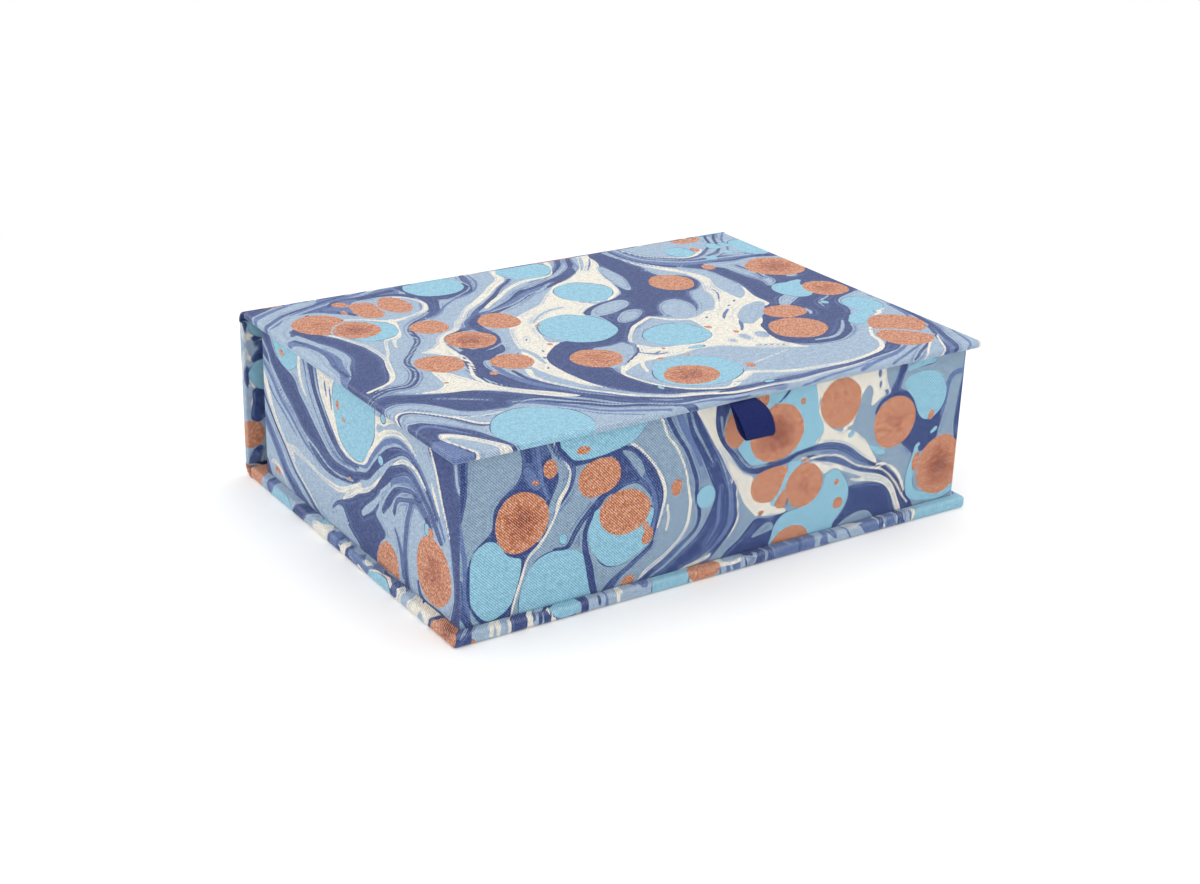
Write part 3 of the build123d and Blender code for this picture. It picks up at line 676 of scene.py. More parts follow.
def front_drawing() -> Drawing:
    """The marbling on the tray's front, in millimetres: x from its middle and z above the table."""
    veins = (
        Vein(0, ((-120, 75), (-112, 45), (-118, 5))),
        Vein(0.2, ((-85, 75), (-78, 58), (-84, 38), (-98, 5))),
        Vein(0.45, ((-46, 64), (-34, 50), (-33, 30), (-50, 10))),
        Vein(0.6, ((-32, 72), (-17, 45), (-15, 25), (-40, 5))),
        Vein(0.75, ((-10, 72), (-2, 50), (8, 40), (34, 42), (60, 37), (85, 21), (97, 5))),
        Vein(1, ((60, 72), (75, 45), (90, 34), (118, 60))),
    )
    marks = (
        Pool(Ink.PERIWINKLE, ((-160, -10), (-160, 110), (160, 110), (160, -10))),
        Stroke(Ink.NAVY, ((-122, 90, 3), (-121, 72, 3.4), (-119.5, 60, 2), (-121, 48, 1.2))),
        Stroke(Ink.MIDDLE_BLUE, ((-121, 46, 1.4), (-118.5, 34, 1.2), (-118.5, 22, 1.2), (-116, 4, 1.6))),
        Stroke(Ink.NAVY, ((-121, 24, 0.8), (-120, 14, 1.6), (-117, 8, 1.4), (-114, 2, 1.6))),
        Pool(Ink.NAVY, ((-97, 92), (-95.5, 72), (-95, 64), (-97, 58), (-101, 54.5), (-106, 50),
            (-107.5, 43), (-110, 39), (-113, 36), (-117.5, 28), (-118, 20), (-116, 13), (-112, 7),
            (-108, 2), (-98, 2), (-98.5, 9), (-95.5, 18), (-91, 27), (-86, 32), (-83, 40), (-81.5, 48),
            (-77.5, 54), (-77, 58), (-79, 64), (-83, 72), (-90, 92))),
        *strokes(Ink.MIDDLE_BLUE, ((-90, 76, 1), (-88, 66, 1), (-85.5, 56, 0.9), (-83.5, 49, 0.7)),
            ((-93, 62, 2), (-90, 58, 2.4), (-88, 55, 1.4))),
        Stroke(Ink.PERIWINKLE, ((-88, 78, 0.8), (-83, 68, 0.8), (-78.5, 60, 1.1), (-78.5, 55, 1.2),
            (-82, 47, 1), (-84, 40, 0.8), (-87, 33, 0.8))),
        Stroke(Ink.NAVY, ((-83.5, 78, 0.8), (-79, 69, 0.7), (-73.5, 61, 1), (-72.8, 56.5, 0.9),
            (-75, 51, 0.8), (-79.5, 45, 0.6))),
        Stroke(Ink.CREAM, ((-87, 84, 0.45), (-82, 72, 0.45), (-76, 62, 0.45), (-74.3, 57.5, 0.47),
            (-76, 52, 0.63), (-78.6, 48, 0.91), (-80, 42, 0.47), (-83, 36.5, 0.47), (-87, 30.5, 0.63),
            (-91, 27, 0.47), (-94, 21, 0.45), (-97, 13, 0.45), (-99, 2, 0.45))),
        Pool(Ink.TURQUOISE, ((-109, 37.6), (-104, 35), (-101, 31), (-97, 28.5), (-94.5, 27), (-95, 22),
            (-97, 16), (-99, 10), (-103, 6.8), (-108, 6), (-112, 9), (-115.6, 14), (-116.8, 21),
            (-116.3, 28), (-114, 34))),
        *stones(Ink.TURQUOISE, (-79, 10, 16.5, 17.5), (-76.5, 31.5, 1.8, 2)),
        Pool(Ink.TURQUOISE, ((-80, 92), (-79, 71), (-76, 66), (-72, 62.2), (-66, 61.3), (-60, 61.7),
            (-52, 62.7), (-46, 64.7), (-42, 68.5), (-39, 73), (-38, 92))),
        *strokes(Ink.NAVY, ((-84, 90, 0.8), (-80.5, 71, 0.7), (-76.5, 64, 0.8), (-71, 60.6, 0.9),
            (-62, 60.9, 0.8), (-54, 62, 0.7), (-50, 62.6, 0.7)), ((-81, 28, 0.5), (-76, 27.8, 0.7),
            (-73.5, 29.2, 0.9), (-71, 33, 0.9), (-67, 38, 1), (-62, 42.5, 1.2), (-56, 47, 1.4),
            (-51, 51, 1.3), (-50, 56, 1.6), (-53, 60, 1)), ((-60, 42.5, 1), (-64.5, 37.5, 0.8),
            (-67, 31, 0.9), (-66.6, 23, 1.2), (-64, 15, 1.6), (-61.5, 2, 1.8))),
        Pool(Ink.NAVY, ((-57, 61.6), (-50, 62.6), (-44, 60.6), (-39, 55.5), (-35, 48), (-32, 39),
            (-32.6, 31), (-35, 23.5), (-39, 18.4), (-46, 14), (-52, 11), (-56, 8), (-60, 2), (-55, 2),
            (-51, 8.5), (-45, 12), (-40, 15.5), (-36, 19.5), (-36.8, 27), (-36, 33), (-37.5, 40),
            (-43, 46.6), (-50, 47), (-56, 44), (-53, 48), (-50.3, 52), (-51.5, 57), (-55, 60))),
        Stroke(Ink.PERIWINKLE, ((-50.5, 61, 0.7), (-46.5, 58, 1.5), (-43, 53.5, 1.7), (-40.4, 48, 1))),
        Stroke(Ink.MIDDLE_BLUE, ((-40.4, 49, 1), (-37.5, 44, 0.8), (-35, 36, 1.1), (-35, 30, 1),
            (-36, 25, 0.7))),
        Stroke(Ink.CREAM, ((-48, 63.4, 0.45), (-42, 59, 0.45), (-36.5, 52.5, 0.47), (-33, 46, 0.63),
            (-31.2, 39, 0.63), (-31.6, 32, 0.45), (-33.4, 26, 0.45))),
        Pool(Ink.TURQUOISE, ((-60, 39.5), (-63.5, 36.5), (-65.6, 31), (-65, 26), (-62.5, 21), (-58, 16.7),
            (-52, 14.8), (-46, 15.8), (-41, 18.4), (-37.4, 21), (-37, 27), (-37.3, 36))),
        *strokes(Ink.CREAM, ((-44, 2, 0.47), (-40, 7.2, 0.7), (-35, 11, 0.77), (-29, 14.6, 0.63),
            (-23.6, 18.6, 0.63), (-20.6, 23.5, 0.63), (-19.2, 30, 0.63), (-18.4, 34.5, 0.7),
            (-20, 42, 0.45), (-22.2, 49, 0.45), (-26, 58, 0.47), (-31, 64.5, 0.47), (-34.5, 72, 0.47),
            (-40, 88, 0.47)), ((-29.4, 34, 0.45), (-28.4, 29, 0.47), (-29.6, 24, 0.45))),
        Stroke(Ink.NAVY, ((-37, 84, 0.7), (-31.5, 71, 0.8), (-26.5, 63.5, 0.7), (-22, 56, 0.6),
            (-18, 47, 0.7), (-15.6, 41, 0.7), (-15.2, 34, 0.8), (-14.3, 28, 0.8), (-15.5, 22, 0.7),
            (-19.5, 18.2, 0.7), (-26, 13.8, 0.9), (-34, 9, 1), (-40, 5, 1.4), (-44, 1, 1.6))),
        Stroke(Ink.MIDDLE_BLUE, ((-29, 76, 1.8), (-24, 67, 1.6), (-19, 57, 1.3), (-15, 48, 0.9))),
        Stroke(Ink.NAVY, ((-25, 84, 2.4), (-20, 71, 2.6), (-16.5, 62, 3.2), (-12.6, 54, 3.2),
            (-8.6, 46, 3.2), (-4.6, 38, 3), (-3.4, 32, 3.4), (-4.6, 25, 4.6), (-8, 17.5, 5.4),
            (-15, 12, 4.6), (-25, 7.6, 3.2), (-36, 2, 2.8))),
        Stroke(Ink.PERIWINKLE, ((-22, 76, 0.6), (-17.5, 63, 0.8), (-13, 54.5, 0.7), (-9, 47, 0.5))),
        *strokes(Ink.MIDDLE_BLUE, ((-4.4, 36, 0.6), (-5, 28, 1), (-5.6, 20, 0.8), (-10, 13, 0.6)),
            ((-17, 78, 1), (-11.4, 62, 1.1), (-6.5, 52, 1.1), (-1.5, 43, 1.1), (1.4, 34, 1.1),
            (1.8, 26, 1.2), (-1, 17, 1.4), (-6, 10, 1.5), (-12, 4, 1.6))),
        Stroke(Ink.CREAM, ((0.5, 38.5, 0.45), (3.6, 33, 0.47), (4.9, 26, 0.47), (4.4, 21, 0.45),
            (0.5, 14.4, 0.45), (-6, 9.4, 0.45), (-11, 6.6, 0.63), (-22, 5.4, 0.45))),
        Stroke(Ink.NAVY, ((-3, 47, 0.6), (1.8, 38, 0.7), (3.4, 30, 0.7), (3.2, 22, 0.8), (-1, 13.8, 0.7),
            (-7, 8.2, 0.8))),
        Pool(Ink.CREAM, ((-24, 92), (-18.4, 73), (-14.4, 66), (-11, 60), (-8, 54.6), (-5, 49.4),
            (-2, 43.8), (2, 38), (5, 33), (7.4, 28.6), (10.4, 24.6), (13, 20.6), (15, 19), (21, 18.5),
            (29, 18.8), (27, 21), (22, 23.8), (17, 25), (12.6, 28.4), (10.6, 33), (10.8, 37), (6, 40),
            (1.4, 45), (-2.6, 51), (-5.6, 56), (-7.6, 61), (-8.6, 66), (-9, 73), (-14, 92))),
        Pool(Ink.PERIWINKLE, ((6.6, 29.6), (8.5, 27), (11, 23), (13.4, 20), (12, 18), (7, 15), (1, 10),
            (-3, 7), (0, 13), (4, 19), (6, 24))),
        Pool(Ink.NAVY, ((-3, 2), (0, 7.6), (6, 12), (10, 15.4), (14, 18), (20, 17.4), (26, 18.6),
            (31, 18.8), (28, 16), (24.4, 14.6), (22.6, 12), (23, 8), (24, 2))),
        Pool(Ink.PERIWINKLE, ((11.5, 10.5), (15, 13.4), (20, 16), (22.6, 14.6), (22, 12), (17, 11))),
        Stroke(Ink.NAVY, ((-8, 90, 4), (-5.6, 73, 3.6), (-6, 63, 2), (-3, 55, 1.7), (2, 48.6, 1.7),
            (7, 43, 1.9), (12.6, 39.8, 1.4), (20, 39.8, 0.9), (28, 40.6, 1), (34, 42.2, 1.3),
            (42, 43.6, 1.1), (48, 43, 1.5), (54.5, 40.8, 1.5), (61, 37.8, 1.4), (67, 34, 1.1),
            (74, 30, 1), (80, 26.8, 0.9), (85, 22, 1), (90, 16, 1.2), (94, 11, 1.3), (98, 2, 1.4))),
        *strokes(Ink.PERIWINKLE, ((-6, 66, 0.7), (-3.4, 57, 0.6), (2, 49.6, 0.6), (8, 42.8, 0.7),
            (14, 41, 0.5)), ((30, 40, 0.6), (36, 41.8, 0.8), (43, 42, 0.7), (51, 40, 0.8), (58, 37, 0.7),
            (66, 32.6, 0.6))),
        Stroke(Ink.NAVY, ((39, 40.6, 0.8), (46, 38.6, 1.1), (53, 36, 1.1), (60, 32.8, 1.1), (67, 29.6, 1),
            (74, 27, 0.9), (80, 24.2, 0.9), (85, 19.6, 1), (89, 13.6, 1.2), (92, 8, 1.5),
            (93.5, 2, 1.6))),
        Stroke(Ink.CREAM, ((36, 40.2, 0.45), (44, 39.6, 0.45), (52, 37.8, 0.45), (58, 35.4, 0.45),
            (65, 31.4, 0.45), (73, 28.2, 0.47), (80, 25.4, 0.45), (86.5, 19, 0.47), (92, 12, 0.47),
            (95, 8, 0.45))),
        Pool(Ink.CREAM, ((40, 38), (46, 36.6), (53, 34), (60, 31), (67, 27.8), (74, 25.4), (80, 22.6),
            (85, 18), (88.6, 12.6), (91, 7), (92, 2), (90, 2), (88.4, 7), (86, 12), (82.6, 16.6),
            (78, 20.2), (72, 22.6), (64, 24.4), (62, 25.6), (70, 24.6), (66, 26.6), (58, 30), (52, 32),
            (48, 31), (46.4, 33))),
        Stroke(Ink.CREAM, ((76, 28.8, 0.45), (82, 27.8, 0.7), (86.6, 24, 0.77), (90, 19, 0.63),
            (93, 14, 0.45))),
        Pool(Ink.CREAM, ((41, 92), (40.6, 72), (43.4, 66), (43.6, 58), (46, 51), (42.6, 46), (49, 44.6),
            (56, 42), (62, 38.8), (68, 34.6), (73, 31), (76, 29.6), (73, 34.4), (70, 39), (66, 44),
            (61, 48.6), (63, 55), (66, 60), (71, 56), (75, 58.6), (79.5, 60), (80.6, 62), (77, 66),
            (76.6, 72), (75, 92))),
        Pool(Ink.PERIWINKLE, ((46, 55), (49, 50.4), (53, 48.2), (56, 47.4), (55.6, 50), (50, 52))),
        Pool(Ink.PERIWINKLE, ((64.4, 60), (66.4, 64), (68.6, 64.6), (70.4, 61), (70, 52), (69.6, 46),
            (70.4, 42), (67, 42.4), (62, 46.4), (57.4, 48.6), (62, 50.6), (64.6, 55))),
        Pool(Ink.PERIWINKLE, ((71.6, 54), (73.6, 57.4), (76, 56.4), (75.6, 53), (73.4, 48), (73.2, 43),
            (76, 37.6), (83, 34.4), (89, 35.8), (93, 31), (94, 26), (93.6, 20), (90.6, 21), (86, 26),
            (80, 29), (75, 34), (71, 40), (70.4, 47))),
        Pool(Ink.PERIWINKLE, ((78, 92), (77, 70), (77.4, 65), (80, 61), (83, 62), (85, 70), (86, 92))),
        *stones(Ink.MIDDLE_BLUE, (73, 69, 1, 2.2), (73.6, 64, 0.8, 1.8), (77.6, 60.8, 1.6, 0.9, -30)),
        Pool(Ink.NAVY, ((61, 22.2), (66, 22.2), (73, 21.4), (79, 19.2), (83.6, 14.6), (86.6, 9), (88, 2),
            (76, 2), (57, 2), (54, 6.6), (58, 10), (60.6, 15), (61.4, 19))),
        Pool(Ink.PERIWINKLE, ((55, 2), (60, 7.6), (66, 9.4), (71, 9), (75, 7), (77, 2))),
        *strokes(Ink.NAVY, ((88, 92, 1.8), (86, 72, 1.8), (84.4, 65, 1.8), (83, 60, 2.6), (87, 58, 2),
            (93, 55, 1.4), (95.4, 50, 1.4), (95.4, 44, 2)), ((73.6, 52, 0.6), (76, 56.4, 0.8),
            (81, 58.6, 0.9))),
        Pool(Ink.NAVY, ((95, 52), (96.5, 47.5), (99.5, 44.6), (103.5, 43.6), (108, 46), (112, 50),
            (110, 44), (108.4, 38), (108, 34), (105, 30.6), (100, 30.6), (96, 29.6), (92, 33), (88, 36.6),
            (93, 40), (95.4, 46))),
        Stroke(Ink.MIDDLE_BLUE, ((109, 44, 0.7), (111.4, 52, 1.2), (112.6, 60, 1.3), (116, 62.8, 1.3),
            (124, 62.6, 1.3))),
        Stroke(Ink.NAVY, ((122, 74, 0.9), (120.6, 60, 1), (119.6, 50, 1.4), (118.6, 40, 1.5),
            (120, 32, 1.5))),
        Stroke(Ink.TURQUOISE, ((89, 69, 1), (96, 70, 1.4), (103, 69.6, 1))),
        Pool(Ink.TURQUOISE, ((88, 64), (92, 66), (98, 66), (104, 64.6), (109, 61), (111.4, 56),
            (110.5, 50), (107.4, 46), (103, 44), (99, 45.2), (96, 49), (93, 55), (90, 59))),
        Pool(Ink.TURQUOISE, ((2, 53), (8, 44.4), (12, 42.6), (20, 41.4), (28, 42.4), (34, 43.8),
            (42, 45.6), (45.2, 48), (44.8, 53), (43, 58), (42.6, 64), (40.4, 70), (39, 76), (37, 92),
            (4, 92), (6, 60))),
        Pool(Ink.TURQUOISE, ((47.6, 25), (48.6, 29.4), (51.6, 31.6), (55, 31), (58, 28), (60.4, 24),
            (61, 19), (59, 13), (55, 8), (50, 2), (24, 2), (22.6, 9), (23.4, 14), (26, 17), (30, 18.6),
            (36, 18.6), (42, 20), (46, 23))),
        Pool(Ink.TURQUOISE, ((22, 24.6), (26, 29), (28.2, 38.4), (31, 39.6), (36, 38.8), (31, 33),
            (29.2, 28), (29.4, 24), (28, 21), (21, 22.4))),
        *stones(Ink.TURQUOISE, (-11, 34, 4.2, 5), (60.4, 45, 1.6, 1.3, 20)),
        *strokes(Ink.TURQUOISE, ((71, 38.6, 0.7), (75, 35.6, 1.3), (79, 33.6, 1.2)), ((105, 38, 0.6),
            (107, 39, 0.9)), ((96.4, 32.8, 0.6), (98.6, 34, 0.8)), ((97, 30, 2), (94.6, 22, 1.8),
            (95.6, 14, 2), (100, 9.4, 2.2), (108, 7.4, 1.6), (116, 8.4, 1.6), (124, 12, 1.6))),
        *strokes(Ink.CREAM, ((29, 78, 0.45), (26.4, 71, 0.63), (23, 67.4, 0.45), (19, 66, 0.45)),
            ((40, 74, 0.63), (42.4, 65, 0.47), (43, 58, 0.45), (45.8, 50, 0.47), (42, 46, 0.45))),
        *stones(Ink.COPPER, (-94.8, 42.2, 11.5, 11.9, 0, 1), (-82.6, 61.2, 2.7, 3.6, 25),
            (-88.5, 57, 1.9, 0.9, -15), (-61.2, 53, 9.8, 7.5, 15), (-49, 36.2, 11.5, 9.2, -8, 0.3),
            (-38.3, 23.6, 2.3, 3.6, -25), (-39.3, 28, 1.4, 1.6), (-68.2, 65.2, 2.8, 1.5),
            (-47, 6.4, 3, 2.2, 10), (-25.7, 40.8, 2.8, 3.7), (1.8, 60, 5.4, 8.4), (13.4, 69.6, 3.4, 3.8),
            (22.3, 53.8, 13.1, 12.2, 0, 1.3), (34.2, 65, 1.5, 1.2, -50), (54, 60.3, 10.3, 10.9, 0, 0.3),
            (83.9, 46.2, 11.1, 11.5, 0, 0.6), (103.4, 45.6, 1.5, 2), (110.8, 21.5, 12.5, 13.3, 0, 1.2)),
        Pool(Ink.COPPER, ((99, 30.2), (97, 30), (95, 27), (95.4, 22.6), (97, 21.6), (98.4, 26))),
        Pool(Ink.COPPER, ((11, 36), (15, 38.4), (22, 39), (28.4, 38), (28, 34), (26, 29), (23, 25.2),
            (19.5, 24), (14.5, 26), (11.5, 30), (10.6, 33))),
        Pool(Ink.COPPER, ((28, 28), (29, 23), (27, 20.8), (24, 21), (23.2, 23), (26, 26))),
        *stones(Ink.COPPER, (38, 28.3, 9.1, 9.6, 0, 0.5), (38, 39.4, 2.2, 0.8), (16.4, 20.3, 1.5, 0.8),
            (32.5, 4.6, 9.3, 6.8), (54.6, 25.5, 1.3), (56.2, 16.5, 2.3)),
    )
    # The tray's front gets painted shade: its pale blue is darkened for the weaker light on that face.
    return Drawing(veins, marks, painted_shade=0.8)


def left_drawing() -> Drawing:
    """The marbling on the tray's left wall, in millimetres: first towards the front, then up."""
    veins = (
        Vein(0, ((-82, 48), (-62, 24), (-30, 5))),
        Vein(0.3, ((-82, 58), (-40, 34), (0, 30), (30, 50), (50, 55), (80, 25))),
        Vein(0.6, ((-46, 70), (-25, 46), (5, 39), (40, 63), (65, 54), (80, 33))),
        Vein(1, ((-20, 70), (-12, 45), (8, 43), (20, 62), (40, 72))),
    )
    marks = (
        Pool(Ink.PERIWINKLE, ((-130, -10), (-130, 110), (130, 110), (130, -10))),
        Pool(Ink.NAVY, ((-90, 84), (-78, 74), (-70.3, 64.6), (-65.3, 61), (-58.7, 59.6), (-50.3, 57.8),
            (-45.3, 52.8), (-38.7, 47.8), (-32, 42.8), (-25.3, 38.7), (-18.7, 36.2), (-8.7, 35.3),
            (1.3, 35.8), (7, 38), (7, 34.5), (1.3, 30.6), (-8.7, 28.4), (-18.7, 27.8), (-28.7, 28.7),
            (-35.3, 31.2), (-42, 36.2), (-50.3, 41.2), (-57, 43.7), (-65.3, 47.8), (-73.7, 55.3),
            (-90, 66))),
        Stroke(Ink.PERIWINKLE, ((-86, 68, 1.2), (-76, 61, 0.9), (-73.7, 56.6, 0.9), (-65.3, 49.8, 1.1),
            (-57, 44.8, 1.1), (-48.7, 39.6, 1), (-40.3, 36, 0.9), (-32, 33.3, 0.8), (-23.7, 31.2, 0.7),
            (-12, 30, 0.7), (1.3, 31.6, 0.6))),
        *strokes(Ink.MIDDLE_BLUE, ((-88, 62, 1.2), (-74, 51, 1.3), (-62, 42.6, 1.2), (-50, 37, 1.1),
            (-42, 32.6, 1), (-34, 29.4, 0.6)), ((-86, 54, 0.8), (-74, 45.6, 0.8), (-62, 38.6, 0.8),
            (-50, 33.4, 0.7))),
        Stroke(Ink.NAVY, ((-40, 88, 2.4), (-36.4, 71, 2.4), (-32, 60.5, 1.9), (-25.3, 52, 1.8),
            (-18.7, 45.6, 1.8), (-11, 41, 1.5), (-2.8, 38.8, 0.9), (5, 40, 0.8))),
        *strokes(Ink.MIDDLE_BLUE, ((-46, 88, 1), (-42.6, 70, 1), (-39, 60, 0.8), (-33, 51.6, 0.8),
            (-26, 44.4, 0.8), (-17, 39, 0.8), (-6, 37.2, 0.7), (4, 38, 0.7)), ((-33, 86, 1.2),
            (-31, 71, 1.2), (-27.6, 62, 1), (-22, 54, 1), (-15, 46, 0.9), (-8, 41.4, 0.7),
            (0, 40.2, 0.5))),
        Pool(Ink.TURQUOISE, ((-76, 92), (-72, 72), (-70, 67), (-67, 63.2), (-63, 60.8), (-57, 60),
            (-52, 61.6), (-48, 64.8), (-46, 70), (-45, 92))),
        Stroke(Ink.CREAM, ((-44, 88, 0.9), (-45.4, 74, 1), (-46.8, 66, 1.3), (-45.6, 60.4, 1.1),
            (-42.4, 56, 0.8), (-40, 53.6, 0.5))),
        Pool(Ink.CREAM, ((-33, 92), (-30.6, 72), (-28.6, 65.6), (-25, 58), (-20, 52), (-15, 46.8),
            (-10, 42.6), (-3, 40.8), (4, 41.2), (11, 43.6), (16.4, 48.6), (21, 53.6), (26, 58.6),
            (31, 62), (37, 64), (43, 64.6), (49, 63.4), (55, 61), (49, 65), (43, 66.4), (36, 66),
            (29, 63.8), (24, 60.6), (21.4, 61), (22.4, 64), (27.6, 64.8), (32, 67.4), (38, 69.4),
            (45, 70), (52, 69), (46, 71.4), (38, 71.6), (31, 70.4), (26, 68), (21, 67), (20, 72),
            (20, 92), (-16, 92))),
        *strokes(Ink.MIDDLE_BLUE, ((-23.4, 68, 0.5), (-22, 63.6, 0.9), (-21, 60, 0.5)), ((-18.6, 67, 0.5),
            (-17.4, 61, 0.9), (-17.2, 56, 0.5))),
        Pool(Ink.TURQUOISE, ((-13.4, 92), (-13, 72), (-14.5, 66), (-15.3, 60), (-14, 53), (-11, 47.2),
            (-6, 43.4), (0, 42), (6, 42.8), (11, 45.6), (15.5, 50.4), (18.8, 55.4), (19.9, 60), (20, 66),
            (20, 72), (21, 92))),
        Stroke(Ink.MIDDLE_BLUE, ((6, 41, 0.6), (13, 43.6, 1), (20, 50.6, 1.1), (27, 57.4, 1.1),
            (34, 61.4, 1.1), (42, 62.6, 1.1), (50, 60.8, 1.1), (58, 56.6, 1.2), (66, 48.4, 1.2),
            (74, 37, 1))),
        Stroke(Ink.NAVY, ((6, 36.4, 1.4), (13, 39.4, 1.4), (20, 45, 1.6), (27, 51.6, 2), (34, 56.6, 2),
            (41, 59.2, 1.4), (48, 59.4, 1), (55, 56.6, 1), (62, 50.4, 1), (68, 43, 0.8))),
        Stroke(Ink.CREAM, ((-8, 20.6, 0.8), (-3, 24.6, 1), (5, 29.5, 0.9), (11.7, 32.8, 0.8),
            (18.3, 37, 0.7), (24.2, 41.6, 0.8), (28.3, 45.3, 0.8), (33.3, 50.3, 0.7), (40, 54.9, 0.8),
            (46.7, 56.2, 0.8), (53.3, 55.8, 0.8), (60, 52, 0.6))),
        Stroke(Ink.NAVY, ((17, 33.4, 0.8), (22, 37.4, 1.4), (28, 43, 2), (34, 48.6, 2.3), (41, 52, 2),
            (48, 52.6, 1.6), (54, 50.4, 1.5), (60, 46, 1.5), (66, 40.4, 1.5), (71, 35, 1.2))),
        Stroke(Ink.MIDDLE_BLUE, ((30, 40, 0.8), (36, 45.6, 1.2), (43, 49, 1.2), (50, 49, 1),
            (57, 45, 1))),
        *strokes(Ink.NAVY, ((27, 29, 1.4), (31, 35, 1.8), (36, 41, 1.5), (43, 45.2, 0.9), (50, 46, 0.8),
            (56, 44, 0.8), (62, 39.6, 0.9)), ((35, 32, 1), (38.4, 38.6, 0.9), (45, 41.6, 0.8),
            (52, 43, 1), (58, 41, 1.3), (63, 37.4, 1.5))),
        *strokes(Ink.CREAM, ((-88, 58, 1.4), (-80, 48, 1.8), (-76, 42, 1.8), (-71.5, 35, 1.3),
            (-67, 30, 1.2), (-62, 25.6, 1), (-57, 21.6, 0.9), (-50, 16.6, 0.8), (-42, 12, 0.6),
            (-32, 8, 0.5)), ((-63, 25.6, 0.9), (-57, 25, 1.2), (-52, 26.2, 1.2), (-44, 25.2, 0.9),
            (-32, 23.8, 0.8), (-20, 23.2, 1.1), (-12, 23.4, 1.2), (-5, 26, 1), (2, 29.6, 0.9),
            (8, 33.2, 0.7)), ((-57, 25, 0.8), (-54.4, 23, 0.7), (-53, 21.4, 0.5))),
        Stroke(Ink.NAVY, ((-86, 46, 0.7), (-77, 37, 0.8), (-70, 30.4, 0.8), (-62, 23.4, 0.8),
            (-54, 17, 0.8), (-44, 11, 0.9), (-34, 7, 0.9), (-24, 4, 0.9))),
        Stroke(Ink.MIDDLE_BLUE, ((-88, 34, 3), (-78, 28, 3), (-70, 20.6, 3.2), (-62, 14, 3), (-52, 8, 3),
            (-44, 2, 3))),
        *strokes(Ink.NAVY, ((-84, 34, 0.7), (-75, 25, 0.9), (-66, 16.4, 1), (-58, 10.6, 1.2), (-48, 6, 2),
            (-36, 3, 1.6)), ((-90, 16, 3), (-82, 10, 2.6), (-77, 4, 2))),
        Stroke(Ink.CREAM, ((-76, 11.6, 0.5), (-72, 12.6, 0.9), (-66, 10.8, 0.8), (-61, 6.4, 0.5))),
        Pool(Ink.NAVY, ((-18, 13.4), (-15, 17), (-9, 20.2), (-2, 24.2), (5, 28), (12, 31.6), (18, 36),
            (24, 36), (23, 30), (20, 25), (24, 22.6), (28, 20.4), (23, 15.6), (20.6, 9), (20, 2), (9, 2),
            (6, 7), (0, 9.6), (-4, 11.4), (-5.6, 14.4), (-9, 17.2), (-13, 16.6), (-16.6, 13.8))),
        *strokes(Ink.PERIWINKLE, ((9, 21.6, 1.4), (14, 25.4, 2), (20, 30.6, 1.7), (26, 36.4, 1.1),
            (32, 42.4, 0.7)), ((24, 23, 0.7), (28.6, 28, 1.1), (33, 33, 0.9)), ((-9, 17.4, 0.5),
            (-6, 13.6, 0.8), (-3, 12, 0.5))),
        Pool(Ink.PERIWINKLE, ((36, 26), (36.4, 32), (38.6, 37), (42, 39.4), (46.4, 39.8), (46.6, 36),
            (43.8, 29.6), (42.4, 22), (41, 16), (40, 20), (37.6, 23.4))),
        Pool(Ink.PERIWINKLE, ((26.6, 18.6), (29, 22.4), (32, 25.8), (35, 24.8), (38, 20.6), (40.6, 15),
            (42, 8), (42.4, 2), (38, 2), (38, 12), (35, 18), (30, 19.6))),
        *strokes(Ink.NAVY, ((49, 41.4, 1), (46.4, 34, 1.2), (44.4, 28, 1.5), (43.4, 21, 1.4),
            (44, 13, 1.6), (46, 2, 2)), ((35.4, 26, 0.6), (38, 22.4, 0.7), (41, 15.6, 1), (42.6, 8, 0.8)),
            ((54, 12, 0.6), (56, 7, 1.2), (60, 4.6, 1.6), (70, 4.4, 1.6), (78, 4, 1.4))),
        Pool(Ink.NAVY, ((64, 92), (62, 70), (66, 64), (70, 57.6), (73, 50), (76, 43), (79, 35),
            (80.5, 28), (80.7, 15), (79.6, 2), (92, 2), (92, 92))),
        *strokes(Ink.CREAM, ((60, 76, 0.6), (66.6, 63.4, 0.6), (70.6, 56, 0.7), (74, 48, 0.6),
            (77.6, 39, 0.5)), ((65, 56, 0.5), (67.8, 50, 1.1), (70.4, 45, 0.6))),
        Stroke(Ink.PERIWINKLE, ((80, 80, 1), (82, 70, 1.2), (84, 62, 1.4), (88, 58, 1))),
        *stones(Ink.TURQUOISE, (24.6, 49.6, 1.8, 2.2, -20), (27, 67.8, 1.8), (61.2, 35.6, 1.8, 2.2),
            (-12, 26.4, 1.6, 0.9)),
        *stones(Ink.COPPER, (65.8, 20.3, 13, 13.6, 0, 0.8), (64, 35.6, 2, 1.7), (30, 8, 9.1, 10.2),
            (-62.5, 65.6, 2.2, 1.5), (-11, 59.4, 1.4, 2), (-6, 55.4, 1.3, 1.1), (-70, 9.8, 2.6, 1.4),
            (-1.6, 31.6, 1.3, 0.8)),
    )
    return Drawing(veins, marks)


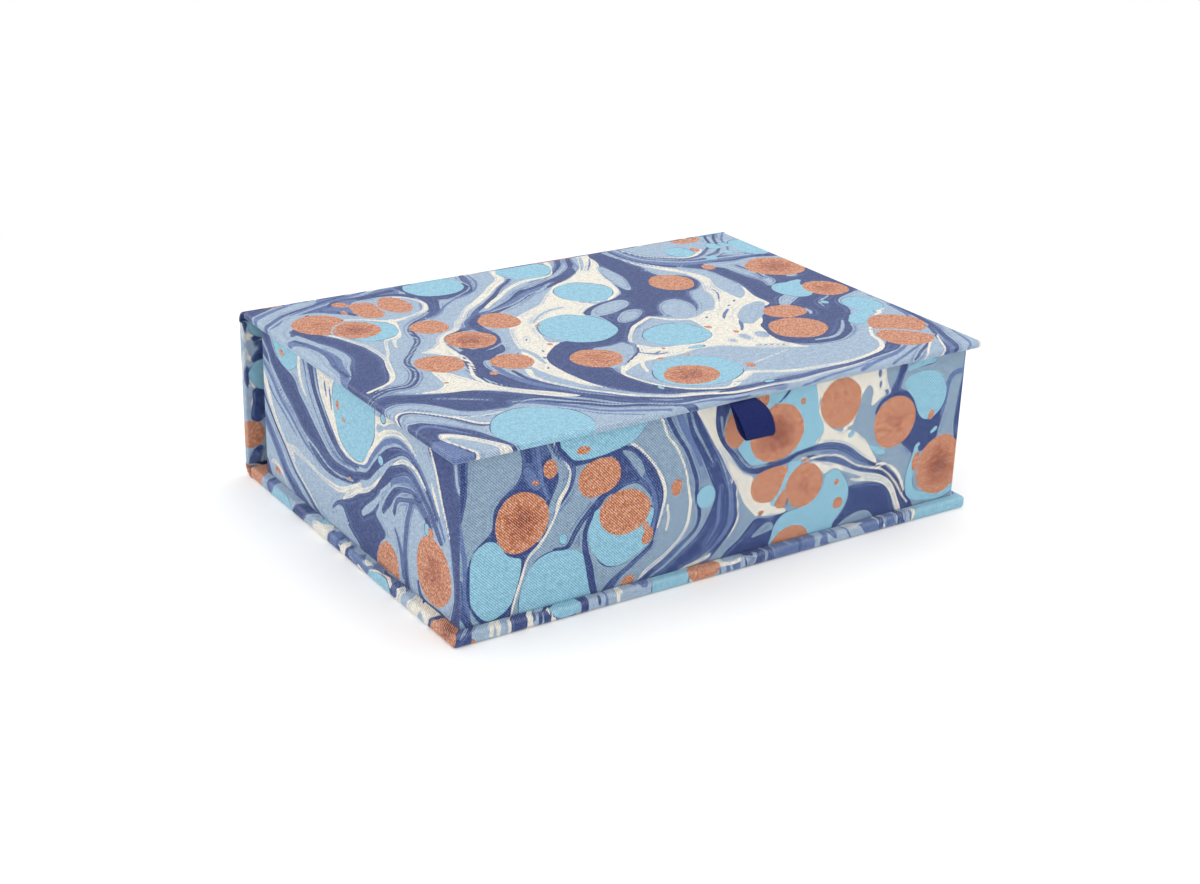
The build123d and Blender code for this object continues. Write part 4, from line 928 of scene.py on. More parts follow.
def base_drawing() -> Drawing:
    """The marbling on the base, whose edges and ledge run on past its outline on the flat cloth."""
    ground = scattered(7, (-112, 112), (-82, 90))
    marks = (
        Pool(Ink.PERIWINKLE, ((-160, -120), (-160, 110), (-117, 110), (-117, -87), (117, -87), (117, 110),
            (160, 110), (160, -120))),
        Stone(Ink.COPPER, -128, 87, 9, 9.4),
        Stroke(Ink.MIDDLE_BLUE, ((-116, 62, 1.6), (-128, 68, 2), (-146, 74, 2))),
        Stroke(Ink.NAVY, ((-122, 67, 0.7), (-130, 72, 0.8), (-146, 77, 0.8))),
        Stone(Ink.TURQUOISE, -125, 57, 5, 10.5),
        Stroke(Ink.NAVY, ((-116, 45, 4), (-126, 42, 4.2), (-134, 36, 4.4), (-146, 28, 4))),
        Stone(Ink.TURQUOISE, -136, 21, 5.5, 8),
        Pool(Ink.CREAM, ((-116, 29), (-124, 28), (-129, 27.5), (-131, 21), (-135, 12.5), (-128, 13),
            (-116, 16))),
        Stroke(Ink.MIDDLE_BLUE, ((-116, 10, 3.4), (-128, 8.5, 3.6), (-146, 4, 4))),
        *strokes(Ink.NAVY, ((-116, 15.4, 0.9), (-128, 13, 1), (-146, 9, 1.4)), ((-116, 6, 0.7),
            (-128, 5, 0.8), (-146, 1, 0.8))),
        Stroke(Ink.CREAM, ((-116, 1.6, 1.5), (-128, 0.4, 1.7), (-136, -3, 1.6), (-146, -6, 1.6))),
        Stroke(Ink.NAVY, ((-116, -1.8, 0.8), (-128, -2.8, 1), (-136, -6, 1), (-146, -10, 1))),
        Stroke(Ink.MIDDLE_BLUE, ((-116, -9, 1.2), (-128, -12, 1.4), (-140, -24, 1.6))),
        Stone(Ink.TURQUOISE, -125, -30, 4.8, 9.5),
        Stroke(Ink.MIDDLE_BLUE, ((-127, -18, 0.8), (-131, -25, 1), (-132, -34, 1.2), (-130, -40, 1))),
        Stroke(Ink.NAVY, ((-116, -42, 1.6), (-128, -42, 1.8), (-134, -43, 3), (-146, -46, 3.4))),
        Pool(Ink.CREAM, ((-116, -46), (-127, -45.5), (-133, -48), (-146, -52), (-146, -76), (-137, -76.5),
            (-130, -71), (-116, -68.5))),
        Stroke(Ink.PERIWINKLE, ((-116, -51, 2.2), (-127, -50.6, 2.2), (-134, -53, 2.4), (-146, -57, 2))),
        Stone(Ink.PERIWINKLE, -124, -63.5, 4.2, 2.8),
        Stroke(Ink.MIDDLE_BLUE, ((-131, -61, 0.5), (-132.5, -63, 0.8), (-133.5, -64.6, 0.5))),
        Pool(Ink.COPPER, ((-116, -70.4), (-127, -71.4), (-133, -75.6), (-140, -80), (-142, -94),
            (-132, -102), (-127, -94.5), (-116, -90))),
        Stone(Ink.COPPER, -130, -83.4, 6.4, 7, heart=1.4),
        Stroke(Ink.NAVY, ((-116, -69.4, 0.7), (-127, -70.4, 0.9), (-133, -74.6, 0.9),
            (-142, -79.4, 0.9))),
        Pool(Ink.NAVY, ((-124, -87), (-126, -95), (-128, -99), (-126, -104), (-126, -112), (-101, -112),
            (-107, -104), (-112, -98.4), (-117, -93), (-118, -86))),
        Stroke(Ink.PERIWINKLE, ((-123, -91, 0.5), (-118, -96, 0.9), (-113, -101, 0.8),
            (-109, -106, 0.6))),
        *strokes(Ink.CREAM, ((-110, -90, 0.7), (-108, -97, 0.8), (-105, -104, 0.7)), ((-107, -90, 0.7),
            (-105.6, -97, 0.9), (-103, -101, 0.6)), ((-102, -88, 0.7), (-101.6, -96, 0.8),
            (-102, -112, 0.7))),
        Stroke(Ink.NAVY, ((-97, -88, 4), (-97, -97, 4), (-96, -112, 4))),
        Stroke(Ink.CREAM, ((-93.6, -88, 0.9), (-92.4, -97, 1.1), (-93, -112, 1))),
        Stroke(Ink.NAVY, ((-87.6, -88, 3.4), (-88.4, -97, 3.2), (-90, -112, 3))),
        *strokes(Ink.PERIWINKLE, ((-90, -88, 0.6), (-90.4, -97, 0.7), (-92, -112, 0.6)),
            ((-87.4, -88, 0.6), (-88, -97, 0.7), (-90, -112, 0.6))),
        Stroke(Ink.CREAM, ((-82, -88, 1.1), (-84.6, -96, 1.1), (-88, -104, 0.9))),
        Stone(Ink.TURQUOISE, -77, -93.6, 6.6, 4.6),
        Stroke(Ink.NAVY, ((-60, -101.6, 0.6), (-50, -100.6, 1), (-40, -99.4, 1.6), (-34, -100, 2))),
        Pool(Ink.TURQUOISE, ((-37, -86), (-36.6, -98), (-34, -102), (-22, -104), (-10, -103), (-12, -96),
            (-20, -92), (-22, -86))),
        Pool(Ink.CREAM, ((-6, -103), (-8, -95), (-4, -92), (4, -92), (5, -96), (0, -101))),
        Stone(Ink.COPPER, -12.6, -93.4, 7.6, 5.4),
        Stone(Ink.PERIWINKLE, 1, -94.6, 4, 1.8),
        Pool(Ink.NAVY, ((-4, -108), (-3, -102), (2, -99.4), (6, -95), (12, -92), (13, -86), (20, -86),
            (21, -96), (19, -108))),
        *strokes(Ink.PERIWINKLE, ((8, -86, 0.7), (12, -94, 0.9), (8, -102, 0.8)), ((17, -86, 0.8),
            (17.4, -95, 0.9), (15, -104, 0.9))),
        *strokes(Ink.MIDDLE_BLUE, ((24, -86, 2.6), (25, -96, 2.6), (23, -108, 2.6)), ((31, -86, 1.8),
            (32, -96, 1.8), (30, -108, 1.8))),
        Stroke(Ink.NAVY, ((34.6, -86, 0.7), (35.4, -96, 0.7), (34, -108, 0.7))),
        *strokes(Ink.MIDDLE_BLUE, ((41, -86, 0.8), (42, -96, 0.8), (40, -108, 0.8)), ((47, -86, 0.7),
            (48, -96, 0.9), (46, -108, 0.9))),
        Stroke(Ink.CREAM, ((57, -102, 0.7), (59, -97, 1.2), (62, -93.6, 1.2), (66, -94.8, 1),
            (71, -97, 1.2), (73, -101, 0.8))),
        Stone(Ink.TURQUOISE, 63, -98, 3.4, 1.6, 20),
        Stroke(Ink.NAVY, ((77, -86, 1.1), (78, -96, 1.2), (76, -108, 1.2))),
        Stroke(Ink.MIDDLE_BLUE, ((82, -86, 1.8), (83, -96, 1.8), (81, -108, 1.8))),
        Stroke(Ink.NAVY, ((88, -86, 1.5), (88.4, -96, 1.5), (86, -108, 1.5))),
        Stroke(Ink.CREAM, ((96, -86, 0.9), (96, -96, 1), (94, -108, 0.8))),
        Pool(Ink.TURQUOISE, ((98, -84), (98, -97), (96, -110), (128, -110), (131, -96), (131, -86),
            (126, -80))),
        Stroke(Ink.NAVY, ((123, -104, 0.8), (127, -98, 1.2), (132, -92, 0.8))),
    )
    return Drawing(ground.veins, ground.marks + marks)


def spine_drawing() -> Drawing:
    """The marbling on the spine, whose left end and turned-in cloth show beside the tray."""
    ground = scattered(21, (-118, 145), (-5, 80))
    marks = (
        Pool(Ink.PERIWINKLE, ((-160, -20), (-160, 100), (-122, 100), (-124, 60), (-121, 40),
            (-124, -20))),
        Stroke(Ink.NAVY, ((-127, 90, 1), (-128.4, 72, 1), (-128.6, 67, 1.2), (-131, 62, 1.8),
            (-135.6, 59.6, 2.2), (-136.4, 56, 2.6), (-132, 52.6, 1.4), (-129, 48.6, 1),
            (-128.4, 44.6, 0.9), (-129.6, 41.4, 1.4), (-132, 38, 2), (-133.4, 32, 3), (-132.6, 26, 3),
            (-135, 18, 1.8), (-131, 10, 2.2), (-129.6, 0, 2.4))),
        Pool(Ink.NAVY, ((-133, 40), (-140, 40), (-150, 38), (-150, 30), (-139, 30), (-135.6, 24),
            (-131, 25), (-130, 32))),
        Stroke(Ink.MIDDLE_BLUE, ((-130, 63, 0.6), (-131.6, 58, 1.2), (-129.6, 53, 0.6))),
        Stroke(Ink.CREAM, ((-126, 72, 0.7), (-127, 64, 0.8), (-129, 59.6, 1), (-128, 55, 0.9),
            (-126.4, 50, 0.8), (-126, 44, 0.5))),
        Pool(Ink.TURQUOISE, ((-129.4, 76), (-129.4, 68.4), (-132, 63.6), (-137, 61.6), (-146, 61),
            (-146, 76), (-136, 90))),
        Pool(Ink.TURQUOISE, ((-129.4, 45.6), (-131, 50), (-134.6, 52.6), (-146, 54), (-150, 46),
            (-146, 38.4), (-137, 38), (-132, 40.6))),
        *stones(Ink.COPPER, (-128.6, 34, 0.8, 0.7), (-129.6, 19, 6.2, 6.4)),
        Stroke(Ink.PERIWINKLE, ((-136, 36, 0.5), (-136.4, 30, 0.6), (-136.6, 24, 0.8))),
    )
    return Drawing(ground.veins, ground.marks + marks)


class Graph:
    """Adds shader nodes to a new material and joins them."""

    def __init__(self, name: str) -> None:
        """Starts a material with one plain shader.

        Args:
            name: the material's name.
        """
        self.material = bpy.data.materials.new(name)
        self.material.use_nodes = True
        self.nodes = self.material.node_tree.nodes
        self.links = self.material.node_tree.links
        self.shader = self.nodes["Principled BSDF"]

    def add(self, kind: str, inputs: dict[str | int, object], **settings: object) -> bpy.types.Node:
        """Adds a node.

        Args:
            kind: the node's type, without its ShaderNode prefix.
            inputs: for each input, the socket that feeds it or its fixed value.
            settings: the node's own settings.

        Returns:
            The node.
        """
        node = self.nodes.new("ShaderNode" + kind)
        for setting, value in settings.items():
            setattr(node, setting, value)
        for key, value in inputs.items():
            self.feed(node.inputs[key], value)
        return node

    def feed(self, socket: bpy.types.NodeSocket, value: object) -> None:
        """Links a socket into another, or sets the other's fixed value."""
        if isinstance(value, bpy.types.NodeSocket):
            self.links.new(value, socket)
        else:
            socket.default_value = value

    def math(self, operation: str, *values: object, clamp: bool = False) -> bpy.types.NodeSocket:
        """Works out one number from others."""
        inputs = dict(enumerate(values))
        return self.add("Math", inputs, operation=operation, use_clamp=clamp).outputs[0]

    def attribute(self, name: str) -> bpy.types.Node:
        """Reads a value that the mesh carries."""
        return self.add("Attribute", {}, attribute_name=name)

    def parts(self, vector: bpy.types.NodeSocket) -> list[bpy.types.NodeSocket]:
        """Takes a vector apart into its three numbers."""
        return list(self.add("SeparateXYZ", {0: vector}).outputs)

    def vector(self, x: object, y: object, z: object = 0.0) -> bpy.types.NodeSocket:
        """Puts three numbers together into a vector."""
        return self.add("CombineXYZ", {0: x, 1: y, 2: z}).outputs[0]

    def noise(
        self, place: bpy.types.NodeSocket, scale: float, detail: float = 2.0, rough: float = 0.5
    ) -> bpy.types.NodeSocket:
        """Makes soft random values from 0 to 1 over a place."""
        inputs = {"Vector": place, "Scale": scale, "Detail": detail, "Roughness": rough}
        return self.add("TexNoise", inputs).outputs[0]

    def between(self, value: object, low: float, high: float) -> bpy.types.NodeSocket:
        """Share from 0 to 1 of the way that a number lies from low to high."""
        inputs = {"Value": value, "From Min": low, "From Max": high}
        return self.add("MapRange", inputs, clamp=True).outputs[0]

    def mix(self, share: object, low: object, high: object) -> bpy.types.NodeSocket:
        """Mixes two colours."""
        node = self.add("Mix", {0: share}, data_type="RGBA")
        self.feed(node.inputs[6], low)
        self.feed(node.inputs[7], high)
        return node.outputs[2]

    def ramp(
        self, share: object, stops: Sequence[tuple[float, Sequence[float]]], stepped: bool = False
    ) -> bpy.types.NodeSocket:
        """Turns a number into a colour by stops of (place, colour)."""
        node = self.add("ValToRGB", {0: share})
        ramp = node.color_ramp
        ramp.interpolation = "CONSTANT" if stepped else "LINEAR"
        while len(ramp.elements) < len(stops):
            ramp.elements.new(1.0)
        for element, (place, colour) in zip(ramp.elements, stops):
            element.position = place
            element.color = colour
        return node.outputs[0]

    def bump(self, height: bpy.types.NodeSocket, reach: float, strength: float = 1.0) -> None:
        """Raises the surface's fine relief by a height from 0 to 1, times a reach in metres."""
        inputs = {"Height": height, "Distance": reach, "Strength": strength}
        node = self.add("Bump", inputs)
        self.links.new(node.outputs[0], self.shader.inputs["Normal"])


@dataclass(frozen=True)
class Twill:
    """Fine twill weave, whose diagonal ribs lie pitch apart."""

    pitch: float = 0.8 * MM
    slant: float = 1.0

    def height(self, graph: Graph, place: bpy.types.NodeSocket) -> bpy.types.NodeSocket:
        """Draws the weave's relief.

        Args:
            graph: the material's nodes.
            place: the place on the flat cloth, in metres.

        Returns:
            The relief, from about 0 to 1.
        """
        x, y, _ = graph.parts(place)
        turns = 2 * math.pi / self.pitch
        diagonal = graph.math("ADD", x, graph.math("MULTIPLY", y, self.slant))
        ribs = graph.math("SINE", graph.math("MULTIPLY", diagonal, turns * 0.7))
        threads = graph.math("SINE", graph.math("MULTIPLY", x, turns * 1.7))
        woven = graph.math("MULTIPLY_ADD", threads, 0.35, ribs)
        yarns = graph.noise(graph.vector(graph.math("MULTIPLY", x, 1.7), y), 1000.0, 2.0, 0.7)
        patches = graph.noise(place, 420.0, 2.0)
        relief = graph.math("MULTIPLY_ADD", woven, 0.13, graph.math("MULTIPLY", patches, 0.3))
        return graph.math("MULTIPLY_ADD", yarns, 0.8, relief)


@dataclass(frozen=True)
class MarbledCloth:
    """Cotton twill printed with marbling. The mesh carries where the inks lie."""

    name: str = "marbled_cloth"
    weave: Twill = Twill()
    stone_edge: float = 0.16
    band_edge: float = 0.3
    blended_edge: float = 0.7
    wobble: float = 0.35
    # Greyer, darker pale blue painted on faces that get less light, as painted shade.
    painted_shade: tuple[float, float, float] = (130, 156, 178)
    # Pale grey mixed in along the rounded edges, and how much of it: partly rubbed cloth, partly painted
    # highlight.
    faded_and_lit: tuple[float, float, float] = (214, 214, 214)
    worn_and_lit: float = 0.1
    thread_shine: float = 0.07
    copper_shine: float = 0.2
    groove_shade: float = 0.42
    roughness: float = 0.85
    gloss: float = 0.26
    sheen: float = 0.14
    relief: float = 0.12 * MM

    def dress(self) -> bpy.types.Material:
        """Builds the finish.

        Returns:
            The material.
        """
        graph = Graph(self.name)
        place = graph.add("UVMap", {}, uv_map="cloth").outputs[0]
        colour, metal = self.inks(graph, place)
        height = self.weave.height(graph, place)
        # The rounded edges are paled: partly rubbed cloth, partly painted highlight.
        wear_and_highlight = graph.math("MULTIPLY", graph.attribute("wear_and_highlight").outputs["Fac"], self.worn_and_lit)
        faded_and_lit = graph.mix(wear_and_highlight, colour, linear(self.faded_and_lit))
        # Painted light on the weave: white specks on the raised threads are painted highlights, stronger on
        # the copper ink as its painted metallic glint, and the grooves are darkened as painted shade.
        raised = graph.between(height, 0.44, 0.68)
        dots = graph.between(height, 0.58, 0.72)
        shine = graph.math("MULTIPLY_ADD", metal, self.copper_shine, self.thread_shine)
        highlighted = graph.mix(graph.math("MULTIPLY", dots, shine), faded_and_lit, (1, 1, 1, 1))
        grooves = graph.math("MULTIPLY_ADD", raised, -self.groove_shade, self.groove_shade)
        graph.feed(graph.shader.inputs["Base Color"], graph.mix(grooves, highlighted, (0, 0, 0, 1)))
        graph.shader.inputs["Roughness"].default_value = self.roughness
        graph.shader.inputs["Specular IOR Level"].default_value = self.gloss
        graph.shader.inputs["Sheen Weight"].default_value = self.sheen
        graph.bump(height, self.relief, 0.7)
        return graph.material

    def inks(
        self, graph: Graph, place: bpy.types.NodeSocket
    ) -> tuple[bpy.types.NodeSocket, bpy.types.NodeSocket]:
        """Lays streaks over the cloth and floats the other inks on them.

        Args:
            graph: the material's nodes.
            place: the place on the flat cloth, in metres.

        Returns:
            The colour, and how metallic it is.
        """
        level = graph.attribute("streak").outputs["Fac"]
        middle, peri, navy = graph.parts(graph.attribute("blue_inks").outputs["Vector"])
        cream, turquoise, copper = graph.parts(graph.attribute("pale_inks").outputs["Vector"])
        heart = graph.attribute("heart").outputs["Fac"]
        along = self.along(graph, place, graph.math("MULTIPLY", level, 13.0), 9.0)
        bands = graph.noise(along, 1.0, 3.0, 0.5)
        colour = graph.ramp(bands, self.streak_stops(), stepped=True)
        loose = graph.between(graph.math("MAXIMUM", turquoise, copper), -1.4, -2.4)
        shift = graph.math("MULTIPLY_ADD", graph.noise(place, 320.0, 3.0), self.wobble, -self.wobble / 2)
        paint = self.paint
        colour = paint(graph, colour, middle, shift, Ink.MIDDLE_BLUE, self.blended_edge)
        # Painted shade: the pale blue is darkened where the mesh says its face gets less light.
        painted_shade = graph.attribute("painted_shade").outputs["Fac"]
        pale = graph.mix(painted_shade, linear(Ink.PERIWINKLE.value), linear(self.painted_shade))
        colour = graph.mix(self.cover(graph, peri, shift, self.band_edge), colour, pale)
        colour = self.echo(graph, place, colour, navy, loose, Ink.MIDDLE_BLUE, (-2.9, -1.2))
        colour = paint(graph, colour, navy, shift, Ink.NAVY, self.band_edge)
        colour = self.echo(graph, place, colour, navy, loose, Ink.MIDDLE_BLUE, (2.9, 0.4))
        colour = paint(graph, colour, cream, shift, Ink.CREAM, self.stone_edge)
        colour = self.echo(graph, place, colour, cream, loose, Ink.PERIWINKLE, (2.9, 0.4))
        outline = graph.between(graph.noise(place, 60.0, 1.0), 0.42, 0.58)
        wider = graph.math("MULTIPLY_ADD", outline, 0.45, shift)
        colour = paint(graph, colour, turquoise, wider, Ink.NAVY, self.stone_edge)
        colour = paint(graph, colour, turquoise, shift, Ink.TURQUOISE, self.stone_edge)
        metal = self.cover(graph, copper, shift, self.stone_edge)
        colour = graph.mix(metal, colour, self.copper(graph, place, heart))
        return colour, metal

    def along(
        self, graph: Graph, place: bpy.types.NodeSocket, across: object, stretch: float
    ) -> bpy.types.NodeSocket:
        """A place for soft noise that runs along bands: fast across them, slow over the cloth."""
        x, y, _ = graph.parts(place)
        return graph.vector(across, graph.math("MULTIPLY", x, stretch), graph.math("MULTIPLY", y, stretch))

    def cover(self, graph: Graph, depth: object, shift: object, edge: float) -> bpy.types.NodeSocket:
        """Share of an ink at a place, from how deep in the ink's area it lies."""
        return graph.between(graph.math("ADD", shift, depth), -edge, 0.04)

    def paint(
        self, graph: Graph, under: object, depth: object, shift: object, ink: Ink, edge: float
    ) -> bpy.types.NodeSocket:
        """Floats one ink on the colours under it."""
        return graph.mix(self.cover(graph, depth, shift, edge), under, linear(ink.value))

    def echo(
        self, graph: Graph, place: bpy.types.NodeSocket, under: object, depth: object,
        loose: object, ink: Ink, reach: tuple[float, float],
    ) -> bpy.types.NodeSocket:
        """Draws fine lines of an ink that follow a band's edge.

        Args:
            graph: the material's nodes.
            place: the place on the flat cloth, in metres.
            under: the colours so far.
            depth: how deep in the band's ink a place lies.
            loose: share from 0 to 1 of how clear of the round drops a place is.
            ink: the lines' ink.
            reach: depths at which the lines have died out, and at which they are full.

        Returns:
            The colours with the lines.
        """
        ripple = graph.noise(self.along(graph, place, depth, 26.0), 1.0, 2.0, 0.6)
        near_edge = graph.between(depth, *reach)
        outside = graph.between(depth, 0.0, math.copysign(0.4, reach[0]))
        share = graph.math("MULTIPLY", graph.between(ripple, 0.5, 0.56), near_edge)
        share = graph.math("MULTIPLY", share, graph.math("MULTIPLY", outside, loose))
        return graph.mix(graph.math("MULTIPLY", share, 0.75), under, linear(ink.value))

    def copper(
        self, graph: Graph, place: bpy.types.NodeSocket, heart: bpy.types.NodeSocket
    ) -> bpy.types.NodeSocket:
        """Speckled copper that darkens towards the heart of a drop."""
        speckle = graph.between(graph.noise(place, 900.0, 2.0, 0.7), 0.32, 0.68)
        cloud = graph.math("MULTIPLY_ADD", graph.noise(place, 260.0, 3.0, 0.7), 1.7, -0.85)
        burnt = graph.between(graph.math("ADD", heart, cloud), 0.3, 1.0)
        dark = graph.math("MULTIPLY_ADD", burnt, 0.75, graph.math("MULTIPLY", speckle, 0.4))
        return graph.ramp(dark, [(place, linear(shade)) for place, shade in COPPER_SHADES])

    def streak_stops(self) -> list[tuple[float, tuple[float, float, float, float]]]:
        """Colours of the streaks, by the value of the soft noise across them."""
        order = (
            (0.0, Ink.NAVY),
            (0.36, Ink.MIDDLE_BLUE),
            (0.41, Ink.NAVY),
            (0.43, Ink.PERIWINKLE),
            (0.50, Ink.MIDDLE_BLUE),
            (0.53, Ink.PERIWINKLE),
            (0.58, Ink.CREAM),
            (0.605, Ink.PERIWINKLE),
            (0.66, Ink.NAVY),
        )
        return [(place, linear(ink.value)) for place, ink in order]


@dataclass(frozen=True)
class PlainCloth:
    """Plain woven cloth or ribbon of one colour."""

    name: str
    colour: tuple[float, float, float]
    pitch: float = 0.45 * MM
    roughness: float = 0.85

    def dress(self) -> bpy.types.Material:
        """Builds the finish.

        Returns:
            The material.
        """
        graph = Graph(self.name)
        place = graph.add("TexCoord", {}).outputs["Object"]
        x, y, z = graph.parts(place)
        turns = 2 * math.pi / self.pitch
        weft = graph.math("SINE", graph.math("MULTIPLY", graph.math("ADD", y, z), turns))
        warp = graph.math("SINE", graph.math("MULTIPLY", x, turns))
        woven = graph.math("MULTIPLY_ADD", graph.math("MULTIPLY", weft, warp), 0.5, 0.5)
        slubs = graph.noise(place, 1400.0, 3.0)
        height = graph.math("MULTIPLY_ADD", slubs, 0.5, graph.math("MULTIPLY", woven, 0.5))
        # The threads are painted darker where the weave dips, as painted shade, and lighter where it rises,
        # as painted highlight, with the yarn's uneven slubs mixed in.
        dark = tuple(value * 0.72 for value in self.colour)
        light = tuple(min(255, value * 1.18 + 6) for value in self.colour)
        colour = graph.mix(graph.between(height, 0.2, 0.9), linear(dark), linear(light))
        graph.feed(graph.shader.inputs["Base Color"], colour)
        graph.shader.inputs["Roughness"].default_value = self.roughness
        graph.shader.inputs["Specular IOR Level"].default_value = 0.1
        graph.bump(height, 0.06 * MM, 0.6)
        return graph.material


@dataclass(frozen=True)
class PressedSheet:
    """Paper, card or binder's board: pressed fibres with flecks of other shades."""

    name: str
    colour: tuple[float, float, float]
    fleck: tuple[float, float, float]
    fleck_share: float = 0.2
    relief: float = 0.05 * MM

    def dress(self) -> bpy.types.Material:
        """Builds the finish.

        Returns:
            The material.
        """
        graph = Graph(self.name)
        place = graph.add("TexCoord", {}).outputs["Object"]
        fibres = graph.noise(place, 900.0, 4.0, 0.65)
        cloudy = graph.noise(place, 45.0, 2.0)
        flecks = graph.between(graph.noise(place, 1300.0, 2.0), 0.72 - self.fleck_share * 0.4, 0.78)
        shade = tuple(value * 0.93 for value in self.colour)
        base = graph.mix(cloudy, linear(shade), linear(self.colour))
        graph.feed(graph.shader.inputs["Base Color"], graph.mix(flecks, base, linear(self.fleck)))
        graph.shader.inputs["Roughness"].default_value = 0.9
        graph.bump(fibres, self.relief, 0.5)
        return graph.material


@dataclass(frozen=True)
class WrapSection:
    """The line that cloth follows round one edge of a board and in over its other face."""

    thickness: float
    radius: float
    turn_in: float
    step: float

    def points(self) -> tuple[np.ndarray, np.ndarray, np.ndarray, np.ndarray]:
        """Works out the line.

        Returns:
            For each point: how far in from the edge it lies, its height above the outer
            face, how far along the cloth it lies, and how much the edge is worn there.
        """
        turns = np.linspace(0, math.pi / 2, 6)
        radius, top = self.radius, self.thickness - self.radius
        sides = np.linspace(radius, top, 1 + max(1, math.ceil((top - radius) / self.step)))[1:-1]
        steps_in = math.ceil((self.turn_in - radius) / (2 * self.step))
        inner = np.linspace(radius, self.turn_in, 1 + steps_in)[1:]
        inset = np.concatenate([
            radius - radius * np.sin(turns),
            np.zeros(len(sides)),
            radius - radius * np.cos(turns),
            inner,
        ])
        height = np.concatenate([
            radius - radius * np.cos(turns),
            sides,
            top + radius * np.sin(turns),
            np.full(len(inner), self.thickness),
        ])
        wear_and_highlight = np.concatenate([
            np.sin(2 * turns),
            np.zeros(len(sides)),
            np.sin(2 * turns),
            np.zeros(len(inner)),
        ])
        travel = np.concatenate([[0], np.cumsum(np.hypot(np.diff(inset), np.diff(height)))])
        return inset, height, travel, wear_and_highlight


class ClothMesh:
    """Gathers grids of points, each with its place on the flat cloth, and welds them into a mesh."""

    def __init__(self, place: Callable[[np.ndarray], np.ndarray]) -> None:
        """Starts an empty mesh.

        Args:
            place: turns the grids' own points into the box's frame.
        """
        self.place = place
        self.points: list[np.ndarray] = []
        self.cloth: list[np.ndarray] = []
        self.wear_and_highlight: list[np.ndarray] = []
        self.fields: list[np.ndarray] = []
        self.faces: list[np.ndarray] = []
        self.count = 0

    def add(
        self, points: np.ndarray, cloth: np.ndarray, drawing: Drawing | None, wear_and_highlight: np.ndarray | None = None
    ) -> None:
        """Adds one grid.

        Args:
            points: the grid's points in metres, rows by columns by three.
            cloth: their places on the flat cloth in millimetres, rows by columns by two.
            drawing: the marbling on that stretch of the cloth.
            wear_and_highlight: how much each point is paled, as rubbed cloth and painted highlight, from 0
                to 1.
        """
        rows, columns = points.shape[:2]
        number = np.arange(rows * columns).reshape(rows, columns) + self.count
        corners = (number[:-1, :-1], number[:-1, 1:], number[1:, 1:], number[1:, :-1])
        self.faces.append(np.stack([corner.ravel() for corner in corners], axis=1))
        self.points.append(self.place(points.reshape(-1, 3)))
        flat = cloth.reshape(-1, 2)
        self.cloth.append(flat)
        worn_and_lit = np.zeros(1) if wear_and_highlight is None else wear_and_highlight
        self.wear_and_highlight.append(np.broadcast_to(worn_and_lit, (rows, columns)).ravel())
        self.fields.append(self.read(drawing, flat))
        self.count += rows * columns

    @staticmethod
    def read(drawing: Drawing | None, flat: np.ndarray) -> np.ndarray:
        """Reads where the inks of a drawing lie.

        Args:
            drawing: the marbling.
            flat: places on the flat cloth, in millimetres.

        Returns:
            A row for each place: the streak's level, the depths of the six inks, the heart and the
            painted shade of the pale blue.
        """
        if drawing is None:
            return np.zeros((len(flat), 9))
        x, y = flat.T
        drift = np.column_stack([
            0.6 * np.sin(y / 4.1 + 1.5 * np.sin(x / 9)) + 0.4 * np.sin(x / 3.1 + y / 5.3),
            0.6 * np.sin(x / 4.6 + 1.5 * np.sin(y / 8)) + 0.4 * np.sin(y / 2.9 - x / 6.1),
        ])
        drifted = flat + SOFT_DRIFT * drift
        depths, heart = drawing.depths(drifted)
        painted_shade = np.full(len(flat), drawing.painted_shade)
        return np.column_stack([drawing.streak(drifted), *(depths[ink] for ink in Ink), heart, painted_shade])

    def build(self, name: str, thickness: float = CLOTH_THICKNESS) -> bpy.types.Object:
        """Welds the grids and gives the sheet its thickness.

        Args:
            name: the piece's name.
            thickness: how thick the sheet is, inward from the grids.

        Returns:
            The piece, linked into the scene.
        """
        points = np.vstack(self.points)
        _, first, welded = np.unique(
            np.round(points / SMALL).astype(np.int64), axis=0, return_index=True, return_inverse=True
        )
        welded = welded.ravel()
        faces, corners = [], []
        for quad in np.vstack(self.faces):
            kept = [corner for index, corner in enumerate(quad) if welded[corner] != welded[quad[index - 1]]]
            if len(kept) > 2:
                faces.append([int(welded[corner]) for corner in kept])
                corners.extend(kept)
        mesh = bpy.data.meshes.new(name)
        mesh.from_pydata([tuple(point) for point in points[first]], [], faces)
        self.store(mesh, np.array(corners))
        piece = bpy.data.objects.new(name, mesh)
        bpy.context.scene.collection.objects.link(piece)
        face_outward(mesh)
        thicken(piece, thickness)
        return piece

    def store(self, mesh: bpy.types.Mesh, corners: np.ndarray) -> None:
        """Keeps the places on the cloth and the inks on the mesh's face corners."""
        flat = np.vstack(self.cloth)[corners] * MM
        fields = np.vstack(self.fields)[corners]
        layer = mesh.uv_layers.new(name="cloth")
        layer.uv.foreach_set("vector", flat.astype(np.float32).ravel())
        for name, kind, key, values in (
            ("streak", "FLOAT", "value", fields[:, 0]),
            ("blue_inks", "FLOAT_VECTOR", "vector", fields[:, 1:4]),
            ("pale_inks", "FLOAT_VECTOR", "vector", fields[:, 4:7]),
            ("heart", "FLOAT", "value", fields[:, 7]),
            ("painted_shade", "FLOAT", "value", fields[:, 8]),
            ("wear_and_highlight", "FLOAT", "value", np.concatenate(self.wear_and_highlight)[corners]),
        ):
            attribute = mesh.attributes.new(name, kind, "CORNER")
            attribute.data.foreach_set(key, np.ascontiguousarray(values, np.float32).ravel())


